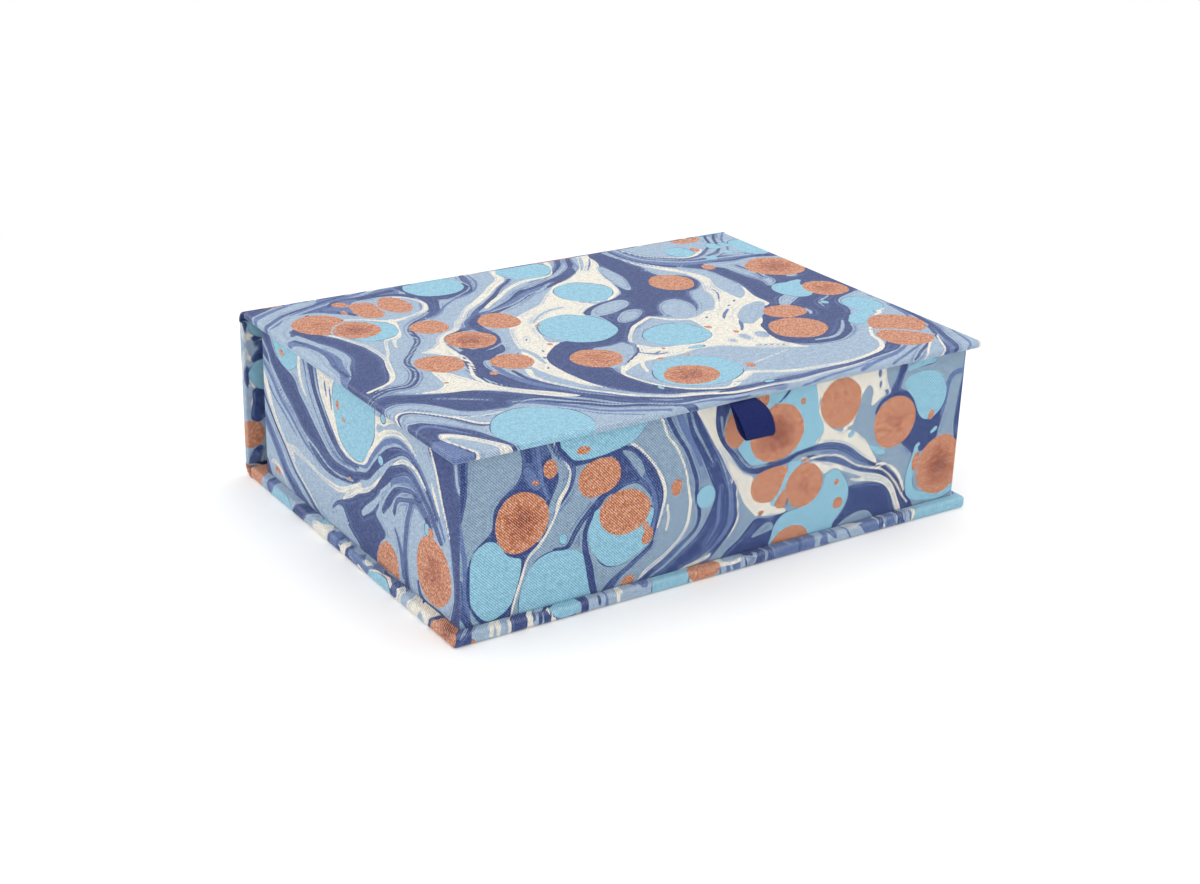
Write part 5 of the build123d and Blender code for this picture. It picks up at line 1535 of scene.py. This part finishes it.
def face_outward(mesh: bpy.types.Mesh) -> None:
    """Turns every face of a wrap to look away from the board inside it."""
    loose = bmesh.new()
    loose.from_mesh(mesh)
    bmesh.ops.recalc_face_normals(loose, faces=loose.faces)
    loose.to_mesh(mesh)
    loose.free()


def thicken(piece: bpy.types.Object, thickness: float) -> None:
    """Gives an open sheet its thickness, inward, and smooths its shading.

    Args:
        piece: the sheet.
        thickness: the cloth's thickness in metres.
    """
    solid = piece.modifiers.new("thickness", "SOLIDIFY")
    solid.thickness = thickness
    solid.offset = -1
    scene_graph = bpy.context.evaluated_depsgraph_get()
    made = bpy.data.meshes.new_from_object(piece.evaluated_get(scene_graph))
    piece.modifiers.clear()
    piece.data = made
    made.shade_smooth()


def spread(low: float, high: float, step: float) -> np.ndarray:
    """Evenly spaced values from low to high, at most a step apart."""
    return np.linspace(low, high, 1 + max(1, math.ceil((high - low) / step)))


def grid(x: np.ndarray, y: np.ndarray, z: np.ndarray) -> np.ndarray:
    """Stacks three coordinates, each rows by columns or less, into one grid of points."""
    return np.stack(np.broadcast_arrays(x, y, z), axis=-1).astype(float)


@dataclass(frozen=True)
class BoardWrap:
    """Cloth over a board's outer face and round its left, front and right edges.

    The board lies in its own frame: x along it, y away from its front edge, and its height
    from the outer face at 0 to the inner one at the thickness.
    """

    left: float
    right: float
    front: float
    rear: float
    thickness: float
    radius: float
    front_wraps: bool = True
    fine_front: bool = False
    step: float = 1.5 * MM

    def build(
        self, name: str, drawing: Drawing, place: Callable[[np.ndarray], np.ndarray]
    ) -> bpy.types.Object:
        """Builds the cloth.

        Args:
            name: the piece's name.
            drawing: the marbling on it.
            place: turns the board's own frame into the box's.

        Returns:
            The piece.
        """
        mesh = ClothMesh(place)
        start = self.front + self.radius if self.front_wraps else self.front
        xs = spread(self.left + self.radius, self.right - self.radius, self.step)
        middle = start + (FINE_ROWS if self.fine_front else self.step)
        fine = self.step * (FINE_SHARE if self.fine_front else 1)
        ys = np.concatenate([spread(start, middle, fine)[:-1], spread(middle, self.rear, self.step)])
        face = grid(xs[None, :], ys[:, None], np.zeros((1, 1)))
        mesh.add(face, face[..., :2] / MM, drawing)
        self.add_ends(mesh, drawing, ys)
        if self.front_wraps:
            self.add_front(mesh, drawing, xs)
            self.add_corners(mesh, drawing)
        return mesh.build(name)

    def section(self) -> tuple[np.ndarray, np.ndarray, np.ndarray, np.ndarray]:
        """The line that the cloth follows round an edge."""
        return WrapSection(self.thickness, self.radius, TURN_IN, 3 * self.step).points()

    def add_ends(self, mesh: ClothMesh, drawing: Drawing, ys: np.ndarray) -> None:
        """Adds the cloth round the left and right edges, and over the board's ends at the joints."""
        inset, height, travel, wear_and_highlight = self.section()
        for edge, side in ((self.left, -1), (self.right, 1)):
            rows = []
            for depth in inset:
                first = self.front + max(depth, self.radius) if self.front_wraps else self.front
                rows.append(first + (ys - ys[0]) / (ys[-1] - ys[0]) * (self.rear - first))
            y = np.array(rows)
            points = grid(edge - side * inset[:, None], y, height[:, None])
            reach = edge - side * self.radius + side * travel
            cloth = np.stack(np.broadcast_arrays(reach[:, None], y), axis=-1) / MM
            mesh.add(points, cloth, drawing, wear_and_highlight[:, None])
            self.add_end_cap(mesh, drawing, edge, side, self.rear, 1)
            if not self.front_wraps:
                self.add_end_cap(mesh, drawing, edge, side, self.front, -1)

    def add_end_cap(
        self, mesh: ClothMesh, drawing: Drawing, edge: float, side: int, y: float, outward: int
    ) -> None:
        """Adds the turned-in cloth over the board's own edge, next to a joint."""
        inset, height, travel, _ = self.section()
        arc = height > self.thickness - self.radius - SMALL
        inset, height, travel = inset[arc], height[arc], travel[arc]
        shares = np.linspace(1, 0, 4)[:, None]
        low = self.thickness - height
        z = low + shares * (height - low)
        points = grid(edge - side * inset[None, :], np.full((1, 1), y), z)
        reach = edge - side * self.radius + side * travel
        down = y + outward * (height - z)
        mesh.add(points, np.stack(np.broadcast_arrays(reach[None, :], down), axis=-1) / MM, drawing)

    def add_front(self, mesh: ClothMesh, drawing: Drawing, xs: np.ndarray) -> None:
        """Adds the cloth round the front edge."""
        inset, height, travel, wear_and_highlight = self.section()
        shares = (xs - xs[0]) / (xs[-1] - xs[0])
        clear = np.maximum(inset, self.radius)
        x = (self.left + clear)[:, None] + shares * (self.right - self.left - 2 * clear)[:, None]
        points = grid(x, (self.front + inset)[:, None], height[:, None])
        reach = self.front + self.radius - travel
        cloth = np.stack(np.broadcast_arrays(x, reach[:, None]), axis=-1) / MM
        mesh.add(points, cloth, drawing, wear_and_highlight[:, None])

    def add_corners(self, mesh: ClothMesh, drawing: Drawing) -> None:
        """Adds the rounded corners at the two ends of the front edge."""
        inset, height, travel, wear_and_highlight = self.section()
        bend = inset <= self.radius + SMALL
        inset, height, travel, wear_and_highlight = inset[bend], height[bend], travel[bend], wear_and_highlight[bend]
        turns = np.linspace(0, math.pi / 2, 7)[None, :]
        out = (self.radius - inset)[:, None]
        for edge, side in ((self.left, -1), (self.right, 1)):
            middle = edge - side * self.radius
            x = middle + side * out * np.cos(turns)
            y = self.front + self.radius - out * np.sin(turns)
            flat_x = middle + side * travel[:, None] * np.cos(turns)
            flat_y = self.front + self.radius - travel[:, None] * np.sin(turns)
            mesh.add(
                grid(x, y, height[:, None]), np.stack([flat_x, flat_y], axis=-1) / MM, drawing, wear_and_highlight[:, None]
            )


@dataclass
class Case:
    """The case: cloth over the base, the spine and the lid, and round the two joints between them."""

    finish: bpy.types.Material
    lining_finish: bpy.types.Material
    lid: tuple = field(default_factory=lambda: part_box("lid_cover"))
    base: tuple = field(default_factory=lambda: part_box("base_cover"))
    spine: tuple = field(default_factory=lambda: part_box("spine_cover"))
    joint: tuple = field(default_factory=lambda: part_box("lower_joint_cloth"))
    lid_radius: float = 1.2 * MM
    base_radius: float = 1.6 * MM
    spine_radius: float = 1.1 * MM
    step: float = 1.15 * MM

    def build(self) -> None:
        """Builds, dresses and seats every piece of the case's cloth."""
        self.build_panel("base_cloth", "base_cover", "tray_and_base", self.base, self.base_radius, 1.3 * MM)
        self.build_panel("lid_cloth", "lid_cover", "lid", self.lid, self.lid_radius, 1.08 * MM)
        outer, inner = self.build_joints()
        self.build_spine()
        self.line(inner)

    def seat(
        self, piece: bpy.types.Object, node: str, size: tuple[float, float],
    ) -> None:
        """Hides the solid that a stretch of the case's cloth stands for, and logs how large the stretch was
        cut.

        Args:
            piece: the cloth.
            node: the solid that it stands for.
            size: width and length of the flat cut.
        """
        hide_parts(node)
        log.info("%s: cut %.0f by %.0f mm", piece.name, size[0] / MM, size[1] / MM)

    def build_panel(self, name: str, node: str, body: str, box: tuple, radius: float, step: float) -> None:
        """Builds the cloth over the base or the lid.

        Args:
            name: the piece's name.
            node: the solid that it stands for.
            body: the moving body that it rides on.
            box: lowest and highest corner of the solid.
            radius: how round the board's edges are.
            step: how far apart the mesh's points are.
        """
        low, high = box
        thickness = high.z - low.z
        upward = name.startswith("lid")

        def place(points: np.ndarray) -> np.ndarray:
            """Sets the outer face below for the base and above for the lid."""
            z = high.z - points[:, 2] if upward else low.z + points[:, 2]
            return np.column_stack([points[:, :2], z])

        wrap = BoardWrap(low.x, high.x, low.y, high.y, thickness, radius, fine_front=upward, step=step)
        drawing = lid_drawing() if upward else base_drawing()
        piece = wrap.build(name, drawing, place)
        piece.data.materials.append(self.finish)
        around = 2 * (thickness + TURN_IN)
        size = (high.x - low.x + around, high.y - low.y + around / 2)
        self.seat(piece, node, size)
        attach(piece, body)

    def build_spine(self) -> None:
        """Builds the cloth over the spine's outer face and round its two ends.
        """
        low, high = self.spine

        def place(points: np.ndarray) -> np.ndarray:
            """Stands the wrap up with its outer face to the rear."""
            return np.column_stack([points[:, 0], high.y - points[:, 2], points[:, 1]])

        wrap = BoardWrap(
            low.x, high.x, low.z, high.z, high.y - low.y, self.spine_radius,
            front_wraps=False, step=self.step,
        )
        drawing = spine_drawing()
        piece = wrap.build("spine_cloth", drawing, place)
        piece.data.materials.append(self.finish)
        size = (high.x - low.x + 2 * (high.y - low.y + TURN_IN), high.z - low.z)
        self.seat(piece, "spine_cover", size)
        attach(piece, "spine")

    def line(self, joints: Sequence[bpy.types.Object]) -> None:
        """Works out how large the strips of lining cloth were cut, which their own solids show, and does
        nothing more with the sizes.

        Args:
            joints: the stretches of the same cloth inside the joints; not used.
        """
        for name, face, edges in (
            ("spine_lining", "z", "y"), ("base_joint_lining", "y", "z"), ("lid_joint_lining", "y", "z")
        ):
            low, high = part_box(name)
            across = getattr(high, face) - getattr(low, face)
            turned = getattr(high, edges) - getattr(low, edges)

    def build_joints(self) -> tuple[list[bpy.types.Object], list[bpy.types.Object]]:
        """Builds the cloth round both joints and the lining cloth inside them.

        Returns:
            The outer stretches, and those of the lining.
        """
        outer, inner = [], []
        low, high = self.joint
        lined_low, lined_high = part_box("lower_joint_lining")
        for level, bodies in (("lower", ("tray_and_base", "spine")), ("upper", ("spine", "lid"))):
            cloth = self.joint_sheet(f"{level}_joint_sheet", level, (low.x, high.x), high.y - low.y, True)
            lining = self.joint_sheet(
                f"{level}_joint_inside", level, (lined_low.x, lined_high.x), lined_high.y - low.y, False
            )
            for piece, kind, slot in (
                (cloth, "cloth", "marbled_cloth"), (lining, "lining", "joint_lining_cloth")
            ):
                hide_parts(f"{level}_joint_{kind}")
                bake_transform(piece)
                log.info("%s: bends between %s and %s", piece.name, *bodies)
            outer.append(cloth)
            inner.append(lining)
        return outer, inner

    def joint_sheet(
        self, name: str, level: str, span: tuple[float, float], radius: float, turned_in: bool
    ) -> bpy.types.Object:
        """Builds one sheet that bends a quarter turn between two boards.

        Args:
            name: the piece's name.
            level: lower or upper, the joint that it is in.
            span: lowest and highest x.
            radius: from the bend's middle to the sheet's outer face.
            turned_in: whether its two ends are folded in.

        Returns:
            The piece.
        """
        centre_y, centre_z = self.joint[0].y, self.joint[1].z
        lift = self.lid[1].z
        turns = np.linspace(0, math.pi / 2, 13)[:, None]
        xs = spread(*span, self.step)
        out = np.full(len(xs), radius)
        flat = xs.copy()
        if turned_in:
            fold = np.linspace(0, math.pi, 6)
            back = spread(0, TURN_IN, self.step)[1:]
            bend = CLOTH_THICKNESS
            left = np.concatenate([span[0] + back[::-1], span[0] + bend - bend * np.sin(fold[::-1])])
            left_out = np.concatenate([
                np.full(len(back), radius - 2 * bend), radius - bend + bend * np.cos(fold[::-1])
            ])
            keep = (xs > span[0] + bend) & (xs < span[1] - bend)
            xs, out = xs[keep], out[keep]
            flat = np.concatenate([span[0] - back[::-1], np.full(len(fold), span[0]), xs,
                                   np.full(len(fold), span[1]), span[1] + back])
            xs = np.concatenate([left, xs, span[0] + span[1] - left[::-1]])
            out = np.concatenate([left_out, out, left_out[::-1]])
        y = centre_y + out * np.sin(turns)
        z = centre_z - out * np.cos(turns)

        def place(points: np.ndarray) -> np.ndarray:
            """Turns the lower joint over for the upper one."""
            if level == "lower":
                return points
            return np.column_stack([points[:, :2], lift - points[:, 2]])

        mesh = ClothMesh(place)
        run = JOINT_START + radius * turns / MM
        cloth = np.stack(np.broadcast_arrays(flat[None, :] / MM, run), axis=-1)
        drawing = scattered(33, (-145, 145), (80, 110)) if turned_in else None
        if turned_in and level == "upper":
            navy_end = Pool(Ink.NAVY, ((-150, 60), (-150, 130), (-119, 130), (-116, 96), (-119, 60)))
            drawing = Drawing(drawing.veins, (*drawing.marks, navy_end))
        mesh.add(grid(xs[None, :], y, z), cloth, drawing)
        piece = mesh.build(name)
        piece.data.materials.append(self.finish if turned_in else self.lining_finish)
        return piece


@dataclass
class TrayWrap:
    """Cloth round the tray's four walls, over the rim and turned in."""

    finish: bpy.types.Material
    box: tuple = field(default_factory=lambda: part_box("tray_cover"))
    radius: float = 0.8 * MM
    inner_radius: float = 0.5 * MM
    wall: float = 3.1 * MM
    step: float = 1.0 * MM

    def section(self) -> tuple[np.ndarray, np.ndarray, np.ndarray, np.ndarray]:
        """The line that the cloth follows up a wall, over the rim and down inside.

        Returns:
            For each point: how far in from the wall's face it lies, its height, how far
            along the cloth it lies, and how much it is paled, as rubbed cloth and painted highlight.
        """
        low, high = self.box
        turns = np.linspace(0, math.pi / 2, 5)
        outer, inner = self.radius, self.inner_radius
        up = spread(low.z, high.z - outer, self.step)[:-1]
        flat = np.linspace(outer, self.wall - inner, 4)[1:-1]
        down = spread(0, TURN_IN - inner, 4 * self.step)[1:]
        inset = np.concatenate([
            np.zeros(len(up)), outer - outer * np.cos(turns), flat,
            self.wall - inner + inner * np.sin(turns), np.full(len(down), self.wall),
        ])
        height = np.concatenate([
            up, high.z - outer + outer * np.sin(turns), np.full(len(flat), high.z),
            high.z - inner + inner * np.cos(turns), high.z - inner - down,
        ])
        wear_and_highlight = np.concatenate([
            np.zeros(len(up)), np.sin(2 * turns), np.zeros(len(flat)), np.sin(2 * turns),
            np.zeros(len(down)),
        ])
        travel = low.z + np.concatenate([[0], np.cumsum(np.hypot(np.diff(inset), np.diff(height)))])
        return inset, height, travel, wear_and_highlight

    def build(self) -> None:
        """Builds, dresses and seats the tray's cloth."""
        low, high = self.box
        mesh = ClothMesh(lambda points: points)
        length, depth = high.x - low.x, high.y - low.y
        right, back = scattered(4, (-90, 86), (0, 90)), scattered(5, (-126, 126), (0, 90))
        walls = (
            ((low.x, low.y), (1, 0), (0, 1), length, low.x, front_drawing(), 0.9),
            ((high.x, low.y), (0, 1), (-1, 0), depth, low.y, right, 2.2),
            ((high.x, high.y), (-1, 0), (0, -1), length, low.x, back, 2.6),
            ((low.x, high.y), (0, -1), (1, 0), depth, -high.y, left_drawing(), 1.1),
        )
        for corner, along, inward, run, start, drawing, step in walls:
            self.add_wall(mesh, np.array([corner, along, inward]), run, start, drawing, step * MM)
        travel = self.section()[2]
        piece = mesh.build("tray_cloth")
        piece.data.materials.append(self.finish)
        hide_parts("tray_cover")
        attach(piece, "tray_and_base")

    def add_wall(
        self, mesh: ClothMesh, frame_of_wall: np.ndarray, length: float, start: float,
        drawing: Drawing, step: float,
    ) -> None:
        """Adds the cloth over one wall, and half of the rounded corner at each of its ends.

        Args:
            mesh: the tray's cloth.
            frame_of_wall: the corner that the wall starts from, the way along it and the way in.
            length: how long the wall is.
            start: where the wall begins on the flat cloth.
            drawing: the marbling on it.
            step: how far apart the mesh's columns are.
        """
        corner, along, inward = frame_of_wall
        inset, height, travel, wear_and_highlight = self.section()
        clear = np.maximum(inset, self.radius)
        share = np.linspace(0, 1, 1 + math.ceil(length / step))
        run = clear[:, None] + share * (length - 2 * clear)[:, None]
        x = corner[0] + along[0] * run + inward[0] * inset[:, None]
        y = corner[1] + along[1] * run + inward[1] * inset[:, None]
        cloth = np.stack(np.broadcast_arrays(start + run, travel[:, None]), axis=-1) / MM
        mesh.add(grid(x, y, height[:, None]), cloth, drawing, wear_and_highlight[:, None])
        bend = inset <= self.radius + SMALL
        out = (self.radius - inset[bend])[:, None]
        turns = np.linspace(0, math.pi / 4, 4)
        # The tray's rounded corners are paled as well, as rubbed cloth and painted highlight.
        corner_wear_and_highlight = np.broadcast_to(0.6 * np.sin(2 * turns), (bend.sum(), len(turns)))
        for way, middle in ((-1, self.radius), (1, length - self.radius)):
            run = middle + way * out * np.sin(turns)
            back = self.radius - out * np.cos(turns)
            x = corner[0] + along[0] * run + inward[0] * back
            y = corner[1] + along[1] * run + inward[1] * back
            flat = start + middle + way * self.radius * turns
            cloth = np.stack(np.broadcast_arrays(flat, travel[bend][:, None]), axis=-1) / MM
            mesh.add(grid(x, y, height[bend][:, None]), cloth, drawing, corner_wear_and_highlight)


@dataclass
class PullLoop:
    """The ribbon loop that hangs in front of the lid's front edge, slightly twisted."""

    finish: bpy.types.Material
    box: tuple = field(default_factory=lambda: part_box("pull_ribbon"))
    thickness: float = 0.2 * MM
    columns: int = 18
    left_line: tuple[tuple[float, float], ...] = (
        (0.2, 72.5), (-1.6, 70.0), (-3.4, 67.2), (-5.6, 64.0), (-8.6, 62.0), (-10.9, 61.5), (-11.5, 62.0),
        (-9.9, 64.5), (-6.5, 68.2), (-3.0, 71.0), (0.2, 72.68),
    )
    right_line: tuple[tuple[float, float], ...] = (
        (0.2, 72.5), (-2.6, 70.6), (-5.0, 68.0), (-7.4, 65.0), (-9.8, 62.6), (-11.6, 61.6), (-12.3, 62.4),
        (-12.4, 65.0), (-9.6, 69.6), (-4.8, 71.9), (0.2, 72.68),
    )

    def build(self) -> None:
        """Builds, dresses and seats the loop."""
        low, high = self.box
        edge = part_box("lid_cover")[0].y
        lines = [through(line, 8) * MM for line in (self.left_line, self.right_line)]
        shares = np.linspace(0, 1, self.columns)[:, None, None]
        path = lines[0] + shares * (lines[1] - lines[0])
        x = low.x + shares[..., 0] * (high.x - low.x)
        points = grid(x, edge + path[..., 0], path[..., 1])
        travel = np.cumsum(np.linalg.norm(np.diff(lines[0], axis=0, prepend=lines[0][:1]), axis=1))
        cloth = np.stack(np.broadcast_arrays(x, travel[None, :]), axis=-1) / MM
        mesh = ClothMesh(lambda grid_points: grid_points)
        mesh.add(points, cloth, None)
        piece = mesh.build("ribbon_loop", self.thickness)
        piece.data.materials.append(self.finish)
        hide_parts("pull_ribbon")
        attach(piece, "pull_loop")


@dataclass
class Studio:
    """Plain pale floor, soft light and the camera. Places are in metres."""

    lens_mm: float = 57.96
    camera_place: tuple[float, float, float] = (-0.427337, -0.626623, 0.338954)
    camera_right: tuple[float, float, float] = (0.834817, -0.549808, 0.028131)
    camera_up: tuple[float, float, float] = (0.189621, 0.335138, 0.922890)
    floor_size: float = 6.0
    floor_shade: float = 0.89
    floor_fades: tuple[float, float] = (0.22, 0.5)
    floor_glow: float = 0.15
    lamp_place: tuple[float, float, float] = (0.6, 0.45, 1.9)
    lamp_size: float = 1.6
    lamp_watts: float = 14.0
    sky: float = 1.22
    sky_lean: tuple[float, float, float] = (-0.55, -0.3, -0.12)

    def build(self) -> None:
        """Sets up the floor, the lights, the camera and the plain view."""
        self.add_camera()
        self.add_floor()
        self.add_sky()
        self.add_lamp("key_light", self.lamp_place, self.lamp_size, self.lamp_watts)
        bpy.context.scene.view_settings.view_transform = "Standard"

    def add_camera(self) -> None:
        """Places the camera where the photograph was taken from."""
        lens = bpy.data.cameras.new("camera")
        lens.lens = self.lens_mm
        lens.sensor_width = 36.0
        lens.clip_start = 0.01
        lens.dof.use_dof = False
        camera = bpy.data.objects.new("camera", lens)
        bpy.context.scene.collection.objects.link(camera)
        right = np.array(self.camera_right)
        up = np.array(self.camera_up)
        turned = Matrix(np.column_stack([right, up, np.cross(right, up)]).tolist()).to_4x4()
        camera.matrix_world = Matrix.Translation(self.camera_place) @ turned
        bpy.context.scene.camera = camera

    def add_floor(self) -> None:
        """Lays a pale floor that fades into the white surround away from the box."""
        half = self.floor_size / 2
        mesh = bpy.data.meshes.new("floor")
        corners = [(-half, -half, 0), (half, -half, 0), (half, half, 0), (-half, half, 0)]
        mesh.from_pydata(corners, [], [(0, 1, 2, 3)])
        floor = bpy.data.objects.new("floor", mesh)
        bpy.context.scene.collection.objects.link(floor)
        graph = Graph("studio_floor")
        graph.shader.inputs["Base Color"].default_value = (*[self.floor_shade] * 3, 1)
        graph.shader.inputs["Roughness"].default_value = 1.0
        graph.shader.inputs["Specular IOR Level"].default_value = 0.0
        place = graph.add("TexCoord", {}).outputs["Object"]
        away = graph.add("VectorMath", {0: place}, operation="LENGTH").outputs["Value"]
        far = graph.between(away, *self.floor_fades)
        far = graph.math("MULTIPLY_ADD", far, 1 - self.floor_glow, self.floor_glow)
        glow = graph.add("Emission", {"Color": (1, 1, 1, 1), "Strength": 1.0})
        seen = self.seen_directly(graph.nodes, graph.links)
        blend = graph.add("MixShader", {0: graph.math("MULTIPLY", far, seen)})
        graph.links.new(graph.shader.outputs[0], blend.inputs[1])
        graph.links.new(glow.outputs[0], blend.inputs[2])
        graph.links.new(blend.outputs[0], graph.nodes["Material Output"].inputs["Surface"])
        mesh.materials.append(graph.material)

    def add_sky(self) -> None:
        """Lights everything softly from all round, and shows white to the camera."""
        world = bpy.data.worlds.new("surround")
        world.use_nodes = True
        nodes, links = world.node_tree.nodes, world.node_tree.links
        shown = nodes.new("ShaderNodeBackground")
        shown.inputs["Strength"].default_value = 1.0
        shown.inputs["Color"].default_value = (1, 1, 1, 1)
        light = nodes["Background"]
        light.inputs["Color"].default_value = (1, 1, 1, 1)
        direction = nodes.new("ShaderNodeTexCoord").outputs["Generated"]
        lean = nodes.new("ShaderNodeVectorMath")
        lean.operation = "DOT_PRODUCT"
        lean.inputs[1].default_value = self.sky_lean
        links.new(direction, lean.inputs[0])
        strength = nodes.new("ShaderNodeMath")
        strength.inputs[1].default_value = self.sky
        links.new(lean.outputs["Value"], strength.inputs[0])
        links.new(strength.outputs[0], light.inputs["Strength"])
        blend = nodes.new("ShaderNodeMixShader")
        links.new(self.seen_directly(nodes, links), blend.inputs[0])
        links.new(light.outputs[0], blend.inputs[1])
        links.new(shown.outputs[0], blend.inputs[2])
        links.new(blend.outputs[0], nodes["World Output"].inputs["Surface"])
        bpy.context.scene.world = world

    @staticmethod
    def seen_directly(nodes: bpy.types.Nodes, links: bpy.types.NodeLinks) -> bpy.types.NodeSocket:
        """Tells rays from the camera, or from something shiny or clear, from those that bring light.

        Args:
            nodes: the material's or the world's nodes.
            links: their links.

        Returns:
            1 for such a ray, or else 0.
        """
        path = nodes.new("ShaderNodeLightPath")
        seen = path.outputs["Is Camera Ray"]
        for ray in ("Is Glossy Ray", "Is Transmission Ray"):
            either = nodes.new("ShaderNodeMath")
            either.operation = "MAXIMUM"
            links.new(seen, either.inputs[0])
            links.new(path.outputs[ray], either.inputs[1])
            seen = either.outputs[0]
        return seen

    def add_lamp(self, name: str, place: tuple[float, float, float], size: float, power: float) -> None:
        """Hangs a soft square lamp that faces the box.

        Args:
            name: the lamp's name.
            place: where it hangs.
            size: its side.
            power: its watts.
        """
        lamp = bpy.data.lights.new(name, "AREA")
        lamp.size = size
        lamp.energy = power
        hung = bpy.data.objects.new(name, lamp)
        bpy.context.scene.collection.objects.link(hung)
        hung.matrix_world = Matrix.Translation(place) @ self.facing(place)

    @staticmethod
    def facing(place: tuple[float, float, float]) -> Matrix:
        """The turn that points a lamp at that place towards the origin."""
        back = np.array(place) / np.linalg.norm(place)
        across = np.cross((0, 0, 1), back)
        across = across / np.linalg.norm(across)
        return Matrix(np.column_stack([across, np.cross(back, across), back]).tolist()).to_4x4()


def dress_solids(finishes: dict[str, bpy.types.Material]) -> None:
    """Gives every solid that stays in view its finish, by the record's slots.

    Args:
        finishes: the material for each slot of the record.
    """
    for part in frame["record"]["subparts"]:
        solid = frame["nodes"][part["node"]]
        if solid.hide_render:
            continue
        for held in solid.material_slots:
            held.material = finishes[part["material_slot"]]
        log.info("%s: dressed as %s", part["node"], part["material_slot"])


def main() -> None:
    """Builds the box's looks, the studio and the camera."""
    logging.basicConfig(level=logging.INFO, format="%(message)s")
    Studio().build()
    finishes = {
        "marbled_cloth": MarbledCloth().dress(),
        "joint_lining_cloth": PlainCloth("joint_lining_cloth", (38, 46, 98)).dress(),
        "navy_ribbon": PlainCloth("navy_ribbon", (25, 34, 84), pitch=0.3 * MM).dress(),
        "greyboard": PressedSheet("greyboard", (168, 162, 152), (120, 112, 102), 0.5).dress(),
        "infill_card": PressedSheet("infill_card", (226, 222, 208), (200, 192, 176)).dress(),
        "lining_paper": PressedSheet("lining_paper", (226, 220, 205), (210, 200, 180), 0.1).dress(),
    }
    Case(finishes["marbled_cloth"], finishes["joint_lining_cloth"]).build()
    TrayWrap(finishes["marbled_cloth"]).build()
    PullLoop(finishes["navy_ribbon"]).build()
    dress_solids(finishes)


if __name__ == "__main__":
    main()
